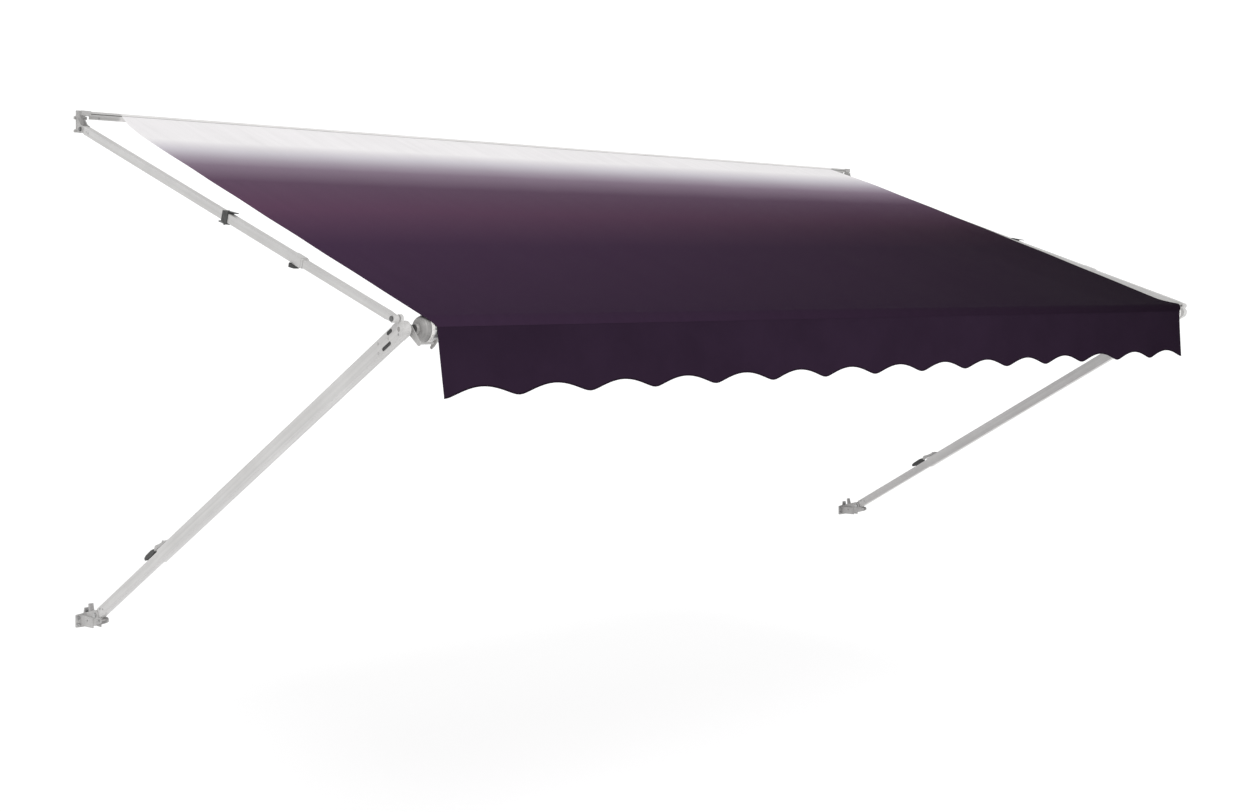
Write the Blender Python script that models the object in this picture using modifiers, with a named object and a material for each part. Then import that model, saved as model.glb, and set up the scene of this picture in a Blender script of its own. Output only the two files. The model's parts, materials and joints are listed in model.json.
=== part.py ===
# Canvas patio awning on two folding arms, deployed, for a flat wall.
# X runs along the wall, the awning reaches out to -Y, +Z is up, and the wall is the plane Y = 0.
# The origin is the middle of the wall rail's back face.

import math

import bmesh
import bpy
from mathutils import Matrix, Vector

# Driving dimensions, in metres
ARM_SPACING = 4.554         # between the middle planes of the two main arms
PROJECTION = 2.085          # wall to the roller's axis
ROLLER_DROP = 0.783         # rail's middle down to the roller's axis
FOOT_DROP = 1.908           # rail's middle down to the arm's foot pivot
FOOT_REACH = 0.105          # wall to the foot pivot
TOP_DROP = 0.058            # rail's middle down to the rafter's wall pivot
TOP_REACH = 0.040           # wall to the rafter's wall pivot
GAP = 0.0003                # between pieces that touch
PLANE_GAP = 0.002           # between the main arm's side and the rafter's side

RAIL_HEIGHT = 0.030
RAIL_SHORT = 0.007          # the rail ends this far inside the main arm's middle plane
RAIL_FLANGE = 0.003
BEAD_RADIUS = 0.008         # outside of the rail's round groove
GROOVE_RADIUS = 0.005
SLOT_WIDTH = 0.0034
CORD_RADIUS = 0.0042

ARM_WIDTH = 0.028           # outer main arm, an open channel
ARM_DEPTH = 0.050
ARM_WALL = 0.002
ARM_BASE = 0.0045           # the channel's bottom and its lips are thicker than its sides
ARM_MOUTH = 0.014           # opening along the channel's upper side
WINDOW_HEIGHT = 0.009       # windows in the channel's outboard side
WINDOW_UNDER_LIP = 0.0012
WINDOW_OVER_BASE = 0.0010
SLIDE_GAP = 0.0004          # running gap around each telescoping piece
INNER_WALL = 0.0018
INNER_START = 0.026         # along the arm, from the foot pivot
INNER_LENGTH = 1.200
OUTER_START = 0.575
HEAD_SHOULDER = 0.0265      # the outer arm ends this far short of the roller's axis
SPIGOT = 0.060
EAR_ALONG = 0.0154          # rafter pivot beyond the roller's axis, along the arm
EAR_RISE = 0.002            # rafter pivot above the arm's upper side
EAR_RADIUS = 0.013

RAFTER_WIDTH = 0.024
RAFTER_DEPTH = 0.031
RAFTER_WALL = 0.0018
RAFTER_START = 0.030
RAFTER_OUTER = 1.650        # along the rafter, where the outer tube ends
RAFTER_OVERLAP = 0.650      # inner tube inside the outer tube
END_BACK = 0.040            # the inner tube ends this far short of the end pivot

PIN_RADIUS = 0.005
PIN_CLEARANCE = 0.0003
END_BOLT = 0.0042           # shank of the bolt at the rafter's end
LUG_THICKNESS = 0.004
EYE_SIDE = 0.0004           # between an eye and the lug beside it

TUBE_RADIUS = 0.0425
TUBE_WALL = 0.0030
CAP_GAP = 0.018             # between an end cap and the arm head's boss
HEM_GROOVE = 0.0038
HEM_SLOT = 0.0026
HEM_CORD = 0.0032
CANOPY_END = 9.5            # degrees above level where the canopy meets the roller's front
VALANCE_LEAVES = -4.0       # and where the valance leaves it
GROOVE_SPACING = 15.0       # degrees between the two hem grooves
CAP_LENGTH = 0.045
SHAFT_RADIUS = 0.007
SHAFT_REACH = 0.125         # inside the tube
BUSH_WALL = 0.0030
HUB_BACK = 0.016            # the end cap's hub reaches this far inside the tube
SPRING_WIRE = 0.0021
SPRING_TURNS = 12
RATCHET_TEETH = 16
RATCHET_DEPTH = 0.0025

FABRIC = 0.0014
CANOPY_TOP_OVER = 0.0025    # the cloth's side at the rail stands beyond the roller tube's end
CANOPY_BOW = 0.052          # the sides draw in by this much at the rail
CANOPY_BOW_LENGTH = 0.36
CANOPY_ROLLER_OVER = 0.0325 # and at the roller it covers part of the end cap
VALANCE_SHORT = 0.007       # the valance ends this far inside the tube's end
VALANCE_TAPER = 0.012
VALANCE_LENGTH = 0.202
VALANCE_LEAN = 0.018
SCALLOPS = 15
SCALLOP_RISE = 0.030

TRAVEL_LOCK_AT = 1.148      # along the rafter
TRAVEL_LOCK_LENGTH = 0.036
TRAVEL_LOCK_WALL = 0.003
TRAVEL_LEVER_DROP = 0.005   # the lever's pin below the saddle
TRAVEL_LEVER_WIDTH = 0.0144
TRAVEL_PIN = 0.0023
KNOB_AT = 1.597
KNOB_RADIUS = 0.0185
KNOB_HEIGHT = 0.0100
COLLAR_WALL = 0.0010
COLLAR_BACK = 0.012         # the clamp collar's reach from the knob towards the wall
COLLAR_AHEAD = 0.044        # and towards the roller
HANDLE_PIVOT_AT = 0.625     # along the arm
HANDLE_RISE = 0.0085        # handle pivot above the arm's upper side
HANDLE_BASE = 0.0026
HANDLE_REACH = 0.080
GRIP_LENGTH = 0.080
HANDLE_WIDTH = 0.0150
HANDLE_PIN = 0.0028
HEAD_BOSS = 0.010           # on the arm head, towards the roller
LOCK_PLATE = 0.003
LOCK_RADIUS = 0.062         # roller's axis to the lock lever's pin
LOCK_ANGLE = -42            # degrees above level, seen from the roller's axis
LOCK_PIN = 0.0035
RATCHET_WIDTH = 0.005
RATCHET_AT = 0.0055
KNOB_OFFSET = 0.0055        # the knob stands this far outboard of the rafter's middle
STUD_RADIUS = 0.0036
HEIGHT_HOLES = 6
HEIGHT_HOLE = 0.0035
HEIGHT_HOLES_AT = 0.320     # along the arm
HEIGHT_HOLE_PITCH = 0.060
FOOT_LUG = 0.020
FOOT_EYE = 0.017            # round end of the foot casting
FOOT_FLOOR_BACK = 0.049     # the bracket's floor ends this far behind the foot pivot
STOP_BAR = 0.0045           # round bar across the foot bracket's cheeks, under the arm
TOP_LUG = 0.016
TOP_MARGIN = 0.0011         # the top bracket's plate beyond its cheeks
TOP_EAR = 0.0085            # and its screw ears beyond the plate
LATCH_BACK = 0.053          # the latch's pin behind the foot pivot
LATCH_DOWN = 0.028
LATCH_SIDE = 0.003          # between the latch and each cheek
LATCH_PIN = 0.003
SCREW_HOLE = 0.0032

# Worked out from the driving dimensions
ARM_X = ARM_SPACING / 2
RAIL_HALF = ARM_X - RAIL_SHORT
LATCH_OUT = FOOT_REACH - LATCH_BACK
TUBE_HALF = ARM_X - ARM_WIDTH / 2 - HEAD_BOSS - CAP_GAP - CAP_LENGTH
CANOPY_TOP_HALF = TUBE_HALF + CANOPY_TOP_OVER
CANOPY_ROLLER_HALF = TUBE_HALF + CANOPY_ROLLER_OVER
VALANCE_HALF = TUBE_HALF - VALANCE_SHORT
RAFTER_X = ARM_X + ARM_WIDTH / 2 + PLANE_GAP + RAFTER_WIDTH / 2
ARM_PITCH = math.atan2(FOOT_DROP - ROLLER_DROP, PROJECTION - FOOT_REACH)
ARM_LENGTH = math.hypot(FOOT_DROP - ROLLER_DROP, PROJECTION - FOOT_REACH)
EAR_HEIGHT = ARM_DEPTH / 2 + EAR_RISE
END_OUT = (FOOT_REACH + (ARM_LENGTH + EAR_ALONG) * math.cos(ARM_PITCH)
           - EAR_HEIGHT * math.sin(ARM_PITCH))
END_DROP = (FOOT_DROP - (ARM_LENGTH + EAR_ALONG) * math.sin(ARM_PITCH)
            - EAR_HEIGHT * math.cos(ARM_PITCH))
RAFTER_PITCH = math.atan2(END_DROP - TOP_DROP, END_OUT - TOP_REACH)
RAFTER_LENGTH = math.hypot(END_DROP - TOP_DROP, END_OUT - TOP_REACH)
INNER_WIDTH = ARM_WIDTH - 2 * ARM_WALL - 2 * SLIDE_GAP
INNER_DEPTH = ARM_DEPTH - 2 * ARM_BASE - 2 * SLIDE_GAP
SLIM_WIDTH = RAFTER_WIDTH - 2 * RAFTER_WALL - 2 * SLIDE_GAP
SLIM_DEPTH = RAFTER_DEPTH - 2 * RAFTER_WALL - 2 * SLIDE_GAP
BEAD_OUT = RAIL_FLANGE + BEAD_RADIUS
BEAD_UP = RAIL_HEIGHT / 2 - BEAD_RADIUS
FABRIC_RADIUS = TUBE_RADIUS + 0.0013 + FABRIC / 2
VALANCE_RADIUS = TUBE_RADIUS + 0.0007 + FABRIC / 2
GROOVE_CENTRE = TUBE_RADIUS - HEM_GROOVE - 0.0012
CAP_RIM = TUBE_RADIUS + 0.0007
BUSH_BORE = SHAFT_RADIUS + 0.0004
HUB_BORE = BUSH_BORE + BUSH_WALL + GAP
AXIS_DISTANCE = math.hypot(PROJECTION - BEAD_OUT, ROLLER_DROP + BEAD_UP)
CANOPY_PITCH = (math.atan2(ROLLER_DROP + BEAD_UP, PROJECTION - BEAD_OUT)
                - math.asin(FABRIC_RADIUS / AXIS_DISTANCE))
CANOPY_RUN = math.sqrt(AXIS_DISTANCE ** 2 - FABRIC_RADIUS ** 2)

FACING_X = Matrix(((0, 0, 1, 0), (1, 0, 0, 0), (0, 1, 0, 0), (0, 0, 0, 1)))
FACING_Y = Matrix(((1, 0, 0, 0), (0, 0, -1, 0), (0, 1, 0, 0), (0, 0, 0, 1)))
SIDES = (("left", -1), ("right", 1))


# Scene, collections and materials

def clear_scene():
    for old in list(bpy.data.objects):
        bpy.data.objects.remove(old, do_unlink=True)


clear_scene()
parts = bpy.data.collections.new("canvas_awning")
cutters = bpy.data.collections.new("cutters")
bpy.context.scene.collection.children.link(parts)
bpy.context.scene.collection.children.link(cutters)


def make_material(name, colour, metallic, roughness):
    made = bpy.data.materials.new(name)
    made.use_nodes = True
    shader = made.node_tree.nodes["Principled BSDF"]
    shader.inputs["Base Color"].default_value = (*colour, 1.0)
    shader.inputs["Metallic"].default_value = metallic
    shader.inputs["Roughness"].default_value = roughness
    return made


ARM_PAINT = (0.62, 0.61, 0.60)
CASTING = (0.52, 0.52, 0.51)
DARK_RAIL = (0.36, 0.35, 0.35)
BLACK = (0.05, 0.05, 0.05)
STEEL = (0.42, 0.42, 0.43)
PLUM = (0.045, 0.03, 0.05)
NYLON = (0.75, 0.74, 0.70)


def frame_at(name, location, pitch):
    made = bpy.data.objects.new(name, None)
    made.location = location
    made.rotation_euler = (pitch, 0, 0)
    made.empty_display_size = 0.05
    parts.objects.link(made)
    return made


# Modelling helpers

def place(name, mesh, look, frame, location=(0, 0, 0), rotation=(0, 0, 0)):
    made = bpy.data.objects.new(name, mesh)
    made.location = location
    made.rotation_euler = rotation
    made.parent = frame
    if look is None:
        cutters.objects.link(made)
        made.hide_render = True
        made.display_type = 'WIRE'
    else:
        parts.objects.link(made)
        colour, metallic, roughness = look
        mesh.materials.clear()
        mesh.materials.append(make_material(name, colour, metallic, roughness))
    return made


def smooth(made, angle=35):
    made.data.shade_smooth()
    made.data.set_sharp_from_angle(angle=math.radians(angle))
    return made


def arc(centre, radius, start, end, steps):
    # Points on a circle from one angle to another, in degrees
    points = []
    for i in range(steps + 1):
        a = math.radians(start + (end - start) * i / steps)
        points.append((centre[0] + radius * math.cos(a), centre[1] + radius * math.sin(a)))
    return points


def rounded(corners, radius, steps=3):
    # The outline with every corner turned into an arc
    points = []
    count = len(corners)
    for i, corner in enumerate(corners):
        here = Vector(corner)
        back = (Vector(corners[i - 1]) - here).normalized()
        ahead = (Vector(corners[(i + 1) % count]) - here).normalized()
        half = back.angle(ahead) / 2
        reach = radius / math.tan(half)
        centre = here + (back + ahead).normalized() * (radius / math.sin(half))
        first = here + back * reach - centre
        sweep = first.angle_signed(here + ahead * reach - centre)
        for k in range(steps + 1):
            turn = Matrix.Rotation(-sweep * k / steps, 2)
            points.append(tuple(centre + turn @ first))
    return points


def rectangle(width, height, centre=(0, 0)):
    w, h = width / 2, height / 2
    return [(centre[0] - w, centre[1] - h), (centre[0] + w, centre[1] - h),
            (centre[0] + w, centre[1] + h), (centre[0] - w, centre[1] + h)]


def slab(rings, thickness, facing):
    # A filled flat outline with its holes, extruded both ways from its plane, as a mesh
    curve = bpy.data.curves.new("outline", 'CURVE')
    curve.dimensions = '2D'
    curve.fill_mode = 'BOTH'
    curve.extrude = thickness / 2
    for ring in rings:
        spline = curve.splines.new('POLY')
        spline.points.add(len(ring) - 1)
        for point, (x, y) in zip(spline.points, ring):
            point.co = (x, y, 0, 1)
        spline.use_cyclic_u = True
    flat = bpy.data.objects.new("outline", curve)
    cutters.objects.link(flat)
    mesh = mesh_of(flat)
    mesh.transform(facing)
    return mesh


def mesh_of(source):
    # The evaluated object as a welded mesh with its faces out; the source object goes
    view = bpy.context.evaluated_depsgraph_get()
    mesh = bpy.data.meshes.new_from_object(source.evaluated_get(view))
    bpy.data.objects.remove(source, do_unlink=True)
    work = bmesh.new()
    work.from_mesh(mesh)
    bmesh.ops.remove_doubles(work, verts=work.verts, dist=0.00001)
    bmesh.ops.recalc_face_normals(work, faces=work.faces)
    work.to_mesh(mesh)
    work.free()
    return mesh


def cylinder(radius, length, facing=FACING_X, steps=24):
    mesh = bpy.data.meshes.new("cylinder")
    work = bmesh.new()
    bmesh.ops.create_cone(work, cap_ends=True, segments=steps, radius1=radius, radius2=radius,
                          depth=length)
    work.to_mesh(mesh)
    work.free()
    mesh.transform(facing)
    return mesh


def brick(size, centre=(0, 0, 0)):
    mesh = bpy.data.meshes.new("brick")
    work = bmesh.new()
    bmesh.ops.create_cube(work, size=1)
    work.to_mesh(mesh)
    work.free()
    mesh.transform(Matrix.Translation(centre) @ Matrix.Diagonal((*size, 1)))
    return mesh


def turned(name, profile, look, frame, location, towards, steps=32, closed=False):
    # A profile of (radius, height) run round the X axis; height points towards +X or -X
    mesh = bpy.data.meshes.new(name)
    points = [(r, 0, h) for r, h in profile]
    edges = [(i, i + 1) for i in range(len(points) - 1)]
    if closed:
        edges.append((len(points) - 1, 0))
    mesh.from_pydata(points, edges, [])
    made = place(name, mesh, look, frame, location, (0, towards * math.pi / 2, 0))
    screw = made.modifiers.new("turn", 'SCREW')
    screw.steps = steps
    screw.render_steps = steps
    screw.use_merge_vertices = True
    screw.merge_threshold = 0.0001
    screw.use_smooth_shade = False
    return made


def combine(made, mesh, operation, location=(0, 0, 0)):
    # A Boolean with a helper solid that stays in the cutters' collection
    helper = place(made.name + ".helper", mesh, None, made.parent, location)
    modifier = made.modifiers.new(operation.lower(), 'BOOLEAN')
    modifier.operation = operation
    modifier.object = helper
    return made


def cut(made, mesh, location=(0, 0, 0)):
    return combine(made, mesh, 'DIFFERENCE', location)


def join(made, mesh, location=(0, 0, 0)):
    return combine(made, mesh, 'UNION', location)


def soften(made, width=0.0008, segments=1, angle=50):
    bevel = made.modifiers.new("edges", 'BEVEL')
    bevel.width = width
    bevel.segments = segments
    bevel.limit_method = 'ANGLE'
    bevel.angle_limit = math.radians(angle)
    return made


def mirrored(points, side):
    # The same outline seen from the other end of the awning
    return points if side > 0 else [(-x, y) for x, y in reversed(points)]


painted = (ARM_PAINT, 0.1, 0.35)
cast = (CASTING, 0.3, 0.45)
black = (BLACK, 0.0, 0.5)
steel = (STEEL, 0.9, 0.35)
fabric = (PLUM, 0.0, 0.9)
nylon = (NYLON, 0.0, 0.5)

frames = {}
for label, side in SIDES:
    frames["foot", side] = frame_at("arm_axis_" + label, (side * ARM_X, -FOOT_REACH, -FOOT_DROP),
                                    -ARM_PITCH)
    frames["top", side] = frame_at("rafter_axis_" + label, (side * RAFTER_X, -TOP_REACH, -TOP_DROP),
                                   RAFTER_PITCH)
    frames["wall", side] = frame_at("wall_foot_" + label, (side * ARM_X, 0, -FOOT_DROP), 0)
    frames["head", side] = frame_at("wall_top_" + label, (side * RAFTER_X, 0, -TOP_DROP), 0)
frames["roller"] = frame_at("roller_axis", (0, -PROJECTION, -ROLLER_DROP), 0)


# Wall rail: a flange with a round groove along it, whose slot points down the canopy

def rail_outline():
    mouth = 180 + math.degrees(CANOPY_PITCH)
    outer = math.degrees(math.asin(SLOT_WIDTH / 2 / BEAD_RADIUS))
    inner = math.degrees(math.asin(SLOT_WIDTH / 2 / GROOVE_RADIUS))
    centre = (-BEAD_OUT, BEAD_UP)
    half = RAIL_HEIGHT / 2
    points = [(0, -half), (0, half)]
    points += arc(centre, BEAD_RADIUS, 90, mouth - outer, 8)
    points += arc(centre, GROOVE_RADIUS, mouth - inner, mouth + inner - 360, 20)
    points += arc(centre, BEAD_RADIUS, mouth + outer, 300, 6)
    points += [(-RAIL_FLANGE, BEAD_UP - BEAD_RADIUS - 0.004), (-RAIL_FLANGE, -half)]
    return points


place("awning_rail", slab([rail_outline()], 2 * RAIL_HALF, FACING_X), (DARK_RAIL, 0.4, 0.4), None)
rail_cord = cylinder(CORD_RADIUS, 2 * (CANOPY_TOP_HALF - CANOPY_BOW), FACING_X, 14)
place("rail_cord", rail_cord, nylon, None, (0, -BEAD_OUT, BEAD_UP))


# Canopy: one sheet from the rail's groove down the slope and over the front of the roller

def canopy_half(run):
    share = run / CANOPY_RUN
    straight = CANOPY_TOP_HALF + (CANOPY_ROLLER_HALF - CANOPY_TOP_HALF) * min(share, 1)
    bow = CANOPY_BOW * max(0, 1 - run / CANOPY_BOW_LENGTH) ** 2
    return straight - bow


def canopy_rows():
    # Each row is its reach from the wall, its height and its half width
    rows = []
    start = CORD_RADIUS + GAP + 0.0002
    steps = [start, 0.02, 0.06, 0.12, 0.2, 0.3, CANOPY_BOW_LENGTH]
    rest = 9
    for i in range(1, rest + 1):
        steps.append(CANOPY_BOW_LENGTH + (CANOPY_RUN - CANOPY_BOW_LENGTH) * i / rest)
    for run in steps:
        out = BEAD_OUT + run * math.cos(CANOPY_PITCH)
        up = BEAD_UP - run * math.sin(CANOPY_PITCH)
        rows.append((out, up, canopy_half(run)))
    first = math.pi / 2 - CANOPY_PITCH
    last = math.radians(CANOPY_END)
    wrap = 8
    for i in range(1, wrap + 1):
        a = first + (last - first) * i / wrap
        out = PROJECTION + FABRIC_RADIUS * math.cos(a)
        up = -ROLLER_DROP + FABRIC_RADIUS * math.sin(a)
        narrow = (CANOPY_ROLLER_HALF - VALANCE_HALF) * (i / wrap) ** 1.5
        rows.append((out, up, CANOPY_ROLLER_HALF - narrow))
    return rows


def sheet(name, rows, columns, look, frame):
    # Rows of points across the width, skinned and thickened evenly
    mesh = bpy.data.meshes.new(name)
    points = [(x, y, z) for row in rows for x, y, z in row]
    faces = []
    for r in range(len(rows) - 1):
        for c in range(columns):
            a = r * (columns + 1) + c
            faces.append((a, a + 1, a + columns + 2, a + columns + 1))
    mesh.from_pydata(points, [], faces)
    made = place(name, mesh, look, frame)
    wall = made.modifiers.new("cloth", 'SOLIDIFY')
    wall.thickness = FABRIC
    wall.offset = 0
    return made


canopy_columns = 8
rows = []
for out, up, half in canopy_rows():
    across = [half * (2 * c / canopy_columns - 1) for c in range(canopy_columns + 1)]
    rows.append([(x, -out, up) for x in across])
smooth(sheet("canopy", rows, canopy_columns, fabric, None))


# Valance: hangs from the roller's front, its lower edge cut in scallops

def valance_rows():
    steps = 6
    columns = SCALLOPS * steps
    down = [0, 0.2, 0.6, 1.0]
    rows = []
    top = math.radians(CANOPY_END - 3)
    bend = math.radians(VALANCE_LEAVES)
    for angle in (top, (top + bend) / 2, bend):
        out = PROJECTION + VALANCE_RADIUS * math.cos(angle)
        up = -ROLLER_DROP + VALANCE_RADIUS * math.sin(angle)
        rows.append([(VALANCE_HALF * (2 * c / columns - 1), -out, up) for c in range(columns + 1)])
    hang = up
    start_out = out
    drop = VALANCE_LENGTH + up + ROLLER_DROP
    for share in down[1:]:
        row = []
        for c in range(columns + 1):
            wave = abs(math.sin(math.pi * c / steps)) ** 0.85
            length = share * (drop - SCALLOP_RISE * wave)
            reach = length / drop
            half = VALANCE_HALF - VALANCE_TAPER * reach
            out = start_out + VALANCE_LEAN * reach ** 1.2
            row.append((half * (2 * c / columns - 1), -out, hang - length))
        rows.append(row)
    return rows, columns


rows, columns = valance_rows()
smooth(sheet("valance", rows, columns, fabric, None))


# Roller: tube with two hem grooves, hem cords, end caps, bushes, springs and shafts

GROOVE_ANGLES = (CANOPY_END + 5, CANOPY_END + 5 - GROOVE_SPACING)


def groove_centre(angle):
    a = math.radians(angle)
    return (GROOVE_CENTRE * math.cos(a), GROOVE_CENTRE * math.sin(a))


def tube_outline():
    # The tube's outside, with a round pocket behind each slot; outward is at 180 degrees
    lip = math.degrees(math.asin(HEM_SLOT / 2 / TUBE_RADIUS))
    inner = math.degrees(math.asin(HEM_SLOT / 2 / HEM_GROOVE))
    order = sorted(180 - groove for groove in GROOVE_ANGLES)
    begin = order[-1] + lip - 360
    points = []
    for angle in order:
        end = angle - lip
        points += arc((0, 0), TUBE_RADIUS, begin, end, max(2, round((end - begin) / 7.5)))
        points += arc(groove_centre(angle), HEM_GROOVE, angle - inner, angle + inner - 360, 10)
        begin = angle + lip
    return points


def tube_bore():
    # Round inside, with a flat boss behind the two grooves
    boss_radius = GROOVE_CENTRE - HEM_GROOVE - 0.0022
    low = 180 - max(GROOVE_ANGLES) - 14
    high = 180 - min(GROOVE_ANGLES) + 14
    points = arc((0, 0), TUBE_RADIUS - TUBE_WALL, high + 4, low - 4 + 360, 36)
    points += arc((0, 0), boss_radius, low, high, 6)
    return points


roller = frames["roller"]
tube = slab([tube_outline(), tube_bore()], 2 * TUBE_HALF, FACING_X)
smooth(place("roller_tube", tube, (ARM_PAINT, 0.6, 0.4), roller), 20)
for cord_name, groove in zip(("canopy_hem_cord", "valance_hem_cord"), GROOVE_ANGLES):
    cord = cylinder(HEM_CORD, 2 * (VALANCE_HALF - 0.004), FACING_X, 10)
    place(cord_name, cord, nylon, roller, (0, *groove_centre(180 - groove)))


def cap_profile():
    # Domed cup seen in section: outer skin, rim, inner skin, hub and bore
    skin = 0.003
    hub = HUB_BORE + 0.004
    rim = CAP_RIM
    outer = [(HUB_BORE, CAP_LENGTH), (hub + 0.001, CAP_LENGTH), (hub + 0.003, CAP_LENGTH - 0.003)]
    depth = CAP_LENGTH - 0.008
    for i in range(1, 6):
        a = math.radians(i * 90 / 5)
        radius = hub + 0.003 + (rim - RATCHET_DEPTH - 0.001 - hub - 0.003) * math.sin(a)
        outer.append((radius, 0.010 + (depth - 0.010 - 0.001) * math.cos(a) + 0.001))
    outer += [(rim, 0.0105), (rim, GAP)]
    inner = [(rim - 0.004, GAP), (rim - 0.004, 0.010)]
    for i in range(3, -1, -1):
        a = math.radians(i * 90 / 4)
        radius = hub + (rim - 0.005 - skin - hub) * math.sin(a)
        inner.append((radius, 0.008 + (depth - 0.014) * math.cos(a)))
    inner += [(hub, -HUB_BACK), (HUB_BORE, -HUB_BACK)]
    return outer + inner


def tooth_cutter():
    # What lies outside the saw teeth of the ratchet ring
    pitch = 360 / RATCHET_TEETH
    ring = []
    for i in range(RATCHET_TEETH):
        for radius, share in ((CAP_RIM - 0.0002, 0.0), (CAP_RIM - RATCHET_DEPTH, 0.12)):
            a = math.radians(pitch * (i + share))
            ring.append((radius * math.cos(a), radius * math.sin(a)))
    outside = arc((0, 0), CAP_RIM + 0.004, 0, 348, 29)
    return slab([outside, ring], RATCHET_WIDTH, FACING_X)


for label, side in SIDES:
    cap = turned("end_cap_" + label, cap_profile(), cast, roller, (side * TUBE_HALF, 0, 0), side,
                 28, True)
    if side < 0:
        cut(cap, tooth_cutter(), (side * (TUBE_HALF + RATCHET_AT), 0, 0))
    smooth(cap, 30)
    bush_back = 0.002 - HUB_BACK
    bush = [(HUB_BORE - GAP, CAP_LENGTH - 0.002), (HUB_BORE - GAP, bush_back),
            (BUSH_BORE, bush_back), (BUSH_BORE, CAP_LENGTH - 0.002)]
    turned("cap_bush_" + label, bush, nylon, roller, (side * TUBE_HALF, 0, 0), side, 24, True)


def helix(start, end, radius, turns, points_a_turn):
    # Points along X round the shaft
    count = turns * points_a_turn
    for i in range(count + 1):
        a = 2 * math.pi * i / points_a_turn
        yield (start + (end - start) * i / count, radius * math.cos(a), radius * math.sin(a))


def wire(points, radius, resolution=2):
    # A bent wire with closed ends, as a mesh
    curve = bpy.data.curves.new("wire", 'CURVE')
    curve.dimensions = '3D'
    curve.bevel_depth = radius
    curve.bevel_resolution = resolution
    curve.use_fill_caps = True
    points = list(points)
    spline = curve.splines.new('POLY')
    spline.points.add(len(points) - 1)
    for point, place_at in zip(spline.points, points):
        point.co = (*place_at, 1)
    bent = bpy.data.objects.new("wire", curve)
    cutters.objects.link(bent)
    return mesh_of(bent)


for label, side in SIDES:
    shaft_out = ARM_X + ARM_WIDTH / 2 - 0.001 - TUBE_HALF
    collar = SHAFT_RADIUS + 0.0006 + 2 * SPRING_WIRE
    shaft = [(0, shaft_out), (SHAFT_RADIUS - 0.001, shaft_out), (SHAFT_RADIUS, shaft_out - 0.001),
             (SHAFT_RADIUS, 0.006 - SHAFT_REACH), (collar, 0.006 - SHAFT_REACH),
             (collar, -SHAFT_REACH), (0, -SHAFT_REACH)]
    smooth(turned("roller_shaft_" + label, shaft, steel, roller, (side * TUBE_HALF, 0, 0), side, 18))
    coil_start = side * (TUBE_HALF - HUB_BACK - SPRING_WIRE - GAP)
    coil_end = side * (TUBE_HALF - SHAFT_REACH + 0.006 + SPRING_WIRE + GAP)
    coil = helix(coil_start, coil_end, SHAFT_RADIUS + 0.0006 + SPRING_WIRE, SPRING_TURNS, 8)
    smooth(place("torsion_spring_" + label, wire(coil, SPRING_WIRE, 1), steel, roller), 60)


# Roller lock: a plate on the left shaft carries a pin, and the lever swings on the pin

def link_outline(first, first_radius, second, second_radius, steps=8):
    # Two circles and the straight sides between them
    angle = math.degrees(math.atan2(second[1] - first[1], second[0] - first[0]))
    points = arc(first, first_radius, angle + 90, angle + 270, steps)
    return points + arc(second, second_radius, angle - 90, angle + 90, steps)


def lever_outline(towards, away):
    # The lever's nose points at the roller's axis and its thumb tab points away from it
    points = []
    for along, across in ((towards, -0.002), (towards, 0.0015), (0.006, 0.0065), (-0.008, 0.0065),
                          (-away, 0.0040), (-away, -0.0040), (-0.008, -0.0065), (0.004, -0.0065)):
        a = math.radians(180 + LOCK_ANGLE)
        points.append((along * math.cos(a) - across * math.sin(a),
                       along * math.sin(a) + across * math.cos(a)))
    return points


lock_turn = math.radians(180 - LOCK_ANGLE)
lock_centre = (LOCK_RADIUS * math.cos(lock_turn), LOCK_RADIUS * math.sin(lock_turn))
plate_x = -(ARM_X - ARM_WIDTH / 2 - HEAD_BOSS - GAP - LOCK_PLATE / 2)
plate = slab([link_outline((0, 0), SHAFT_RADIUS + 0.008, lock_centre, LOCK_PIN + 0.0045),
              arc((0, 0), SHAFT_RADIUS + GAP, 0, 345, 23)], LOCK_PLATE, FACING_X)
lock_plate = place("lock_plate", plate, cast, roller, (plate_x, 0, 0))
pin_length = -plate_x - TUBE_HALF
join(lock_plate, cylinder(LOCK_PIN, pin_length, FACING_X, 16),
     (plate_x + pin_length / 2, *lock_centre))
nose = LOCK_RADIUS - CAP_RIM - 0.0007
lever = slab([lever_outline(nose, 0.024), arc((0, 0), LOCK_PIN + GAP, 0, 337.5, 15)],
             RATCHET_WIDTH, FACING_X)
lever = place("roller_lock_lever", lever, black, roller, (-(TUBE_HALF + RATCHET_AT), *lock_centre))
soften(lever, 0.0006)


# Main arms: foot casting, inner arm, outer channel, head

def channel_outline(width, depth, wall, base, mouth, radius=0.003, fillet=0.001):
    # An open channel with lips, seen along the arm; the mouth is on top
    w = width / 2 - radius
    h = depth / 2 - radius
    corners = ((w, h), (w, -h), (-w, -h), (-w, h))
    w = width / 2 - wall - fillet
    h = depth / 2 - base - fillet
    inside = ((-w, h), (-w, -h), (w, -h), (w, h))
    points = [(mouth / 2, depth / 2)]
    for i, corner in enumerate(corners):
        points += arc(corner, radius, 90 - 90 * i, -90 * i, 4)
    points += [(-mouth / 2, depth / 2), (-mouth / 2, depth / 2 - base)]
    for i, corner in enumerate(inside):
        points += arc(corner, fillet, 90 + 90 * i, 180 + 90 * i, 2)
    points.append((mouth / 2, depth / 2 - base))
    return points


def tube_rings(width, depth, wall, radius=0.0024):
    outer = rounded(rectangle(width, depth), radius)
    inner = rounded(rectangle(width - 2 * wall, depth - 2 * wall), max(radius - wall, 0.0005), 2)
    return [outer, inner]


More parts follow.
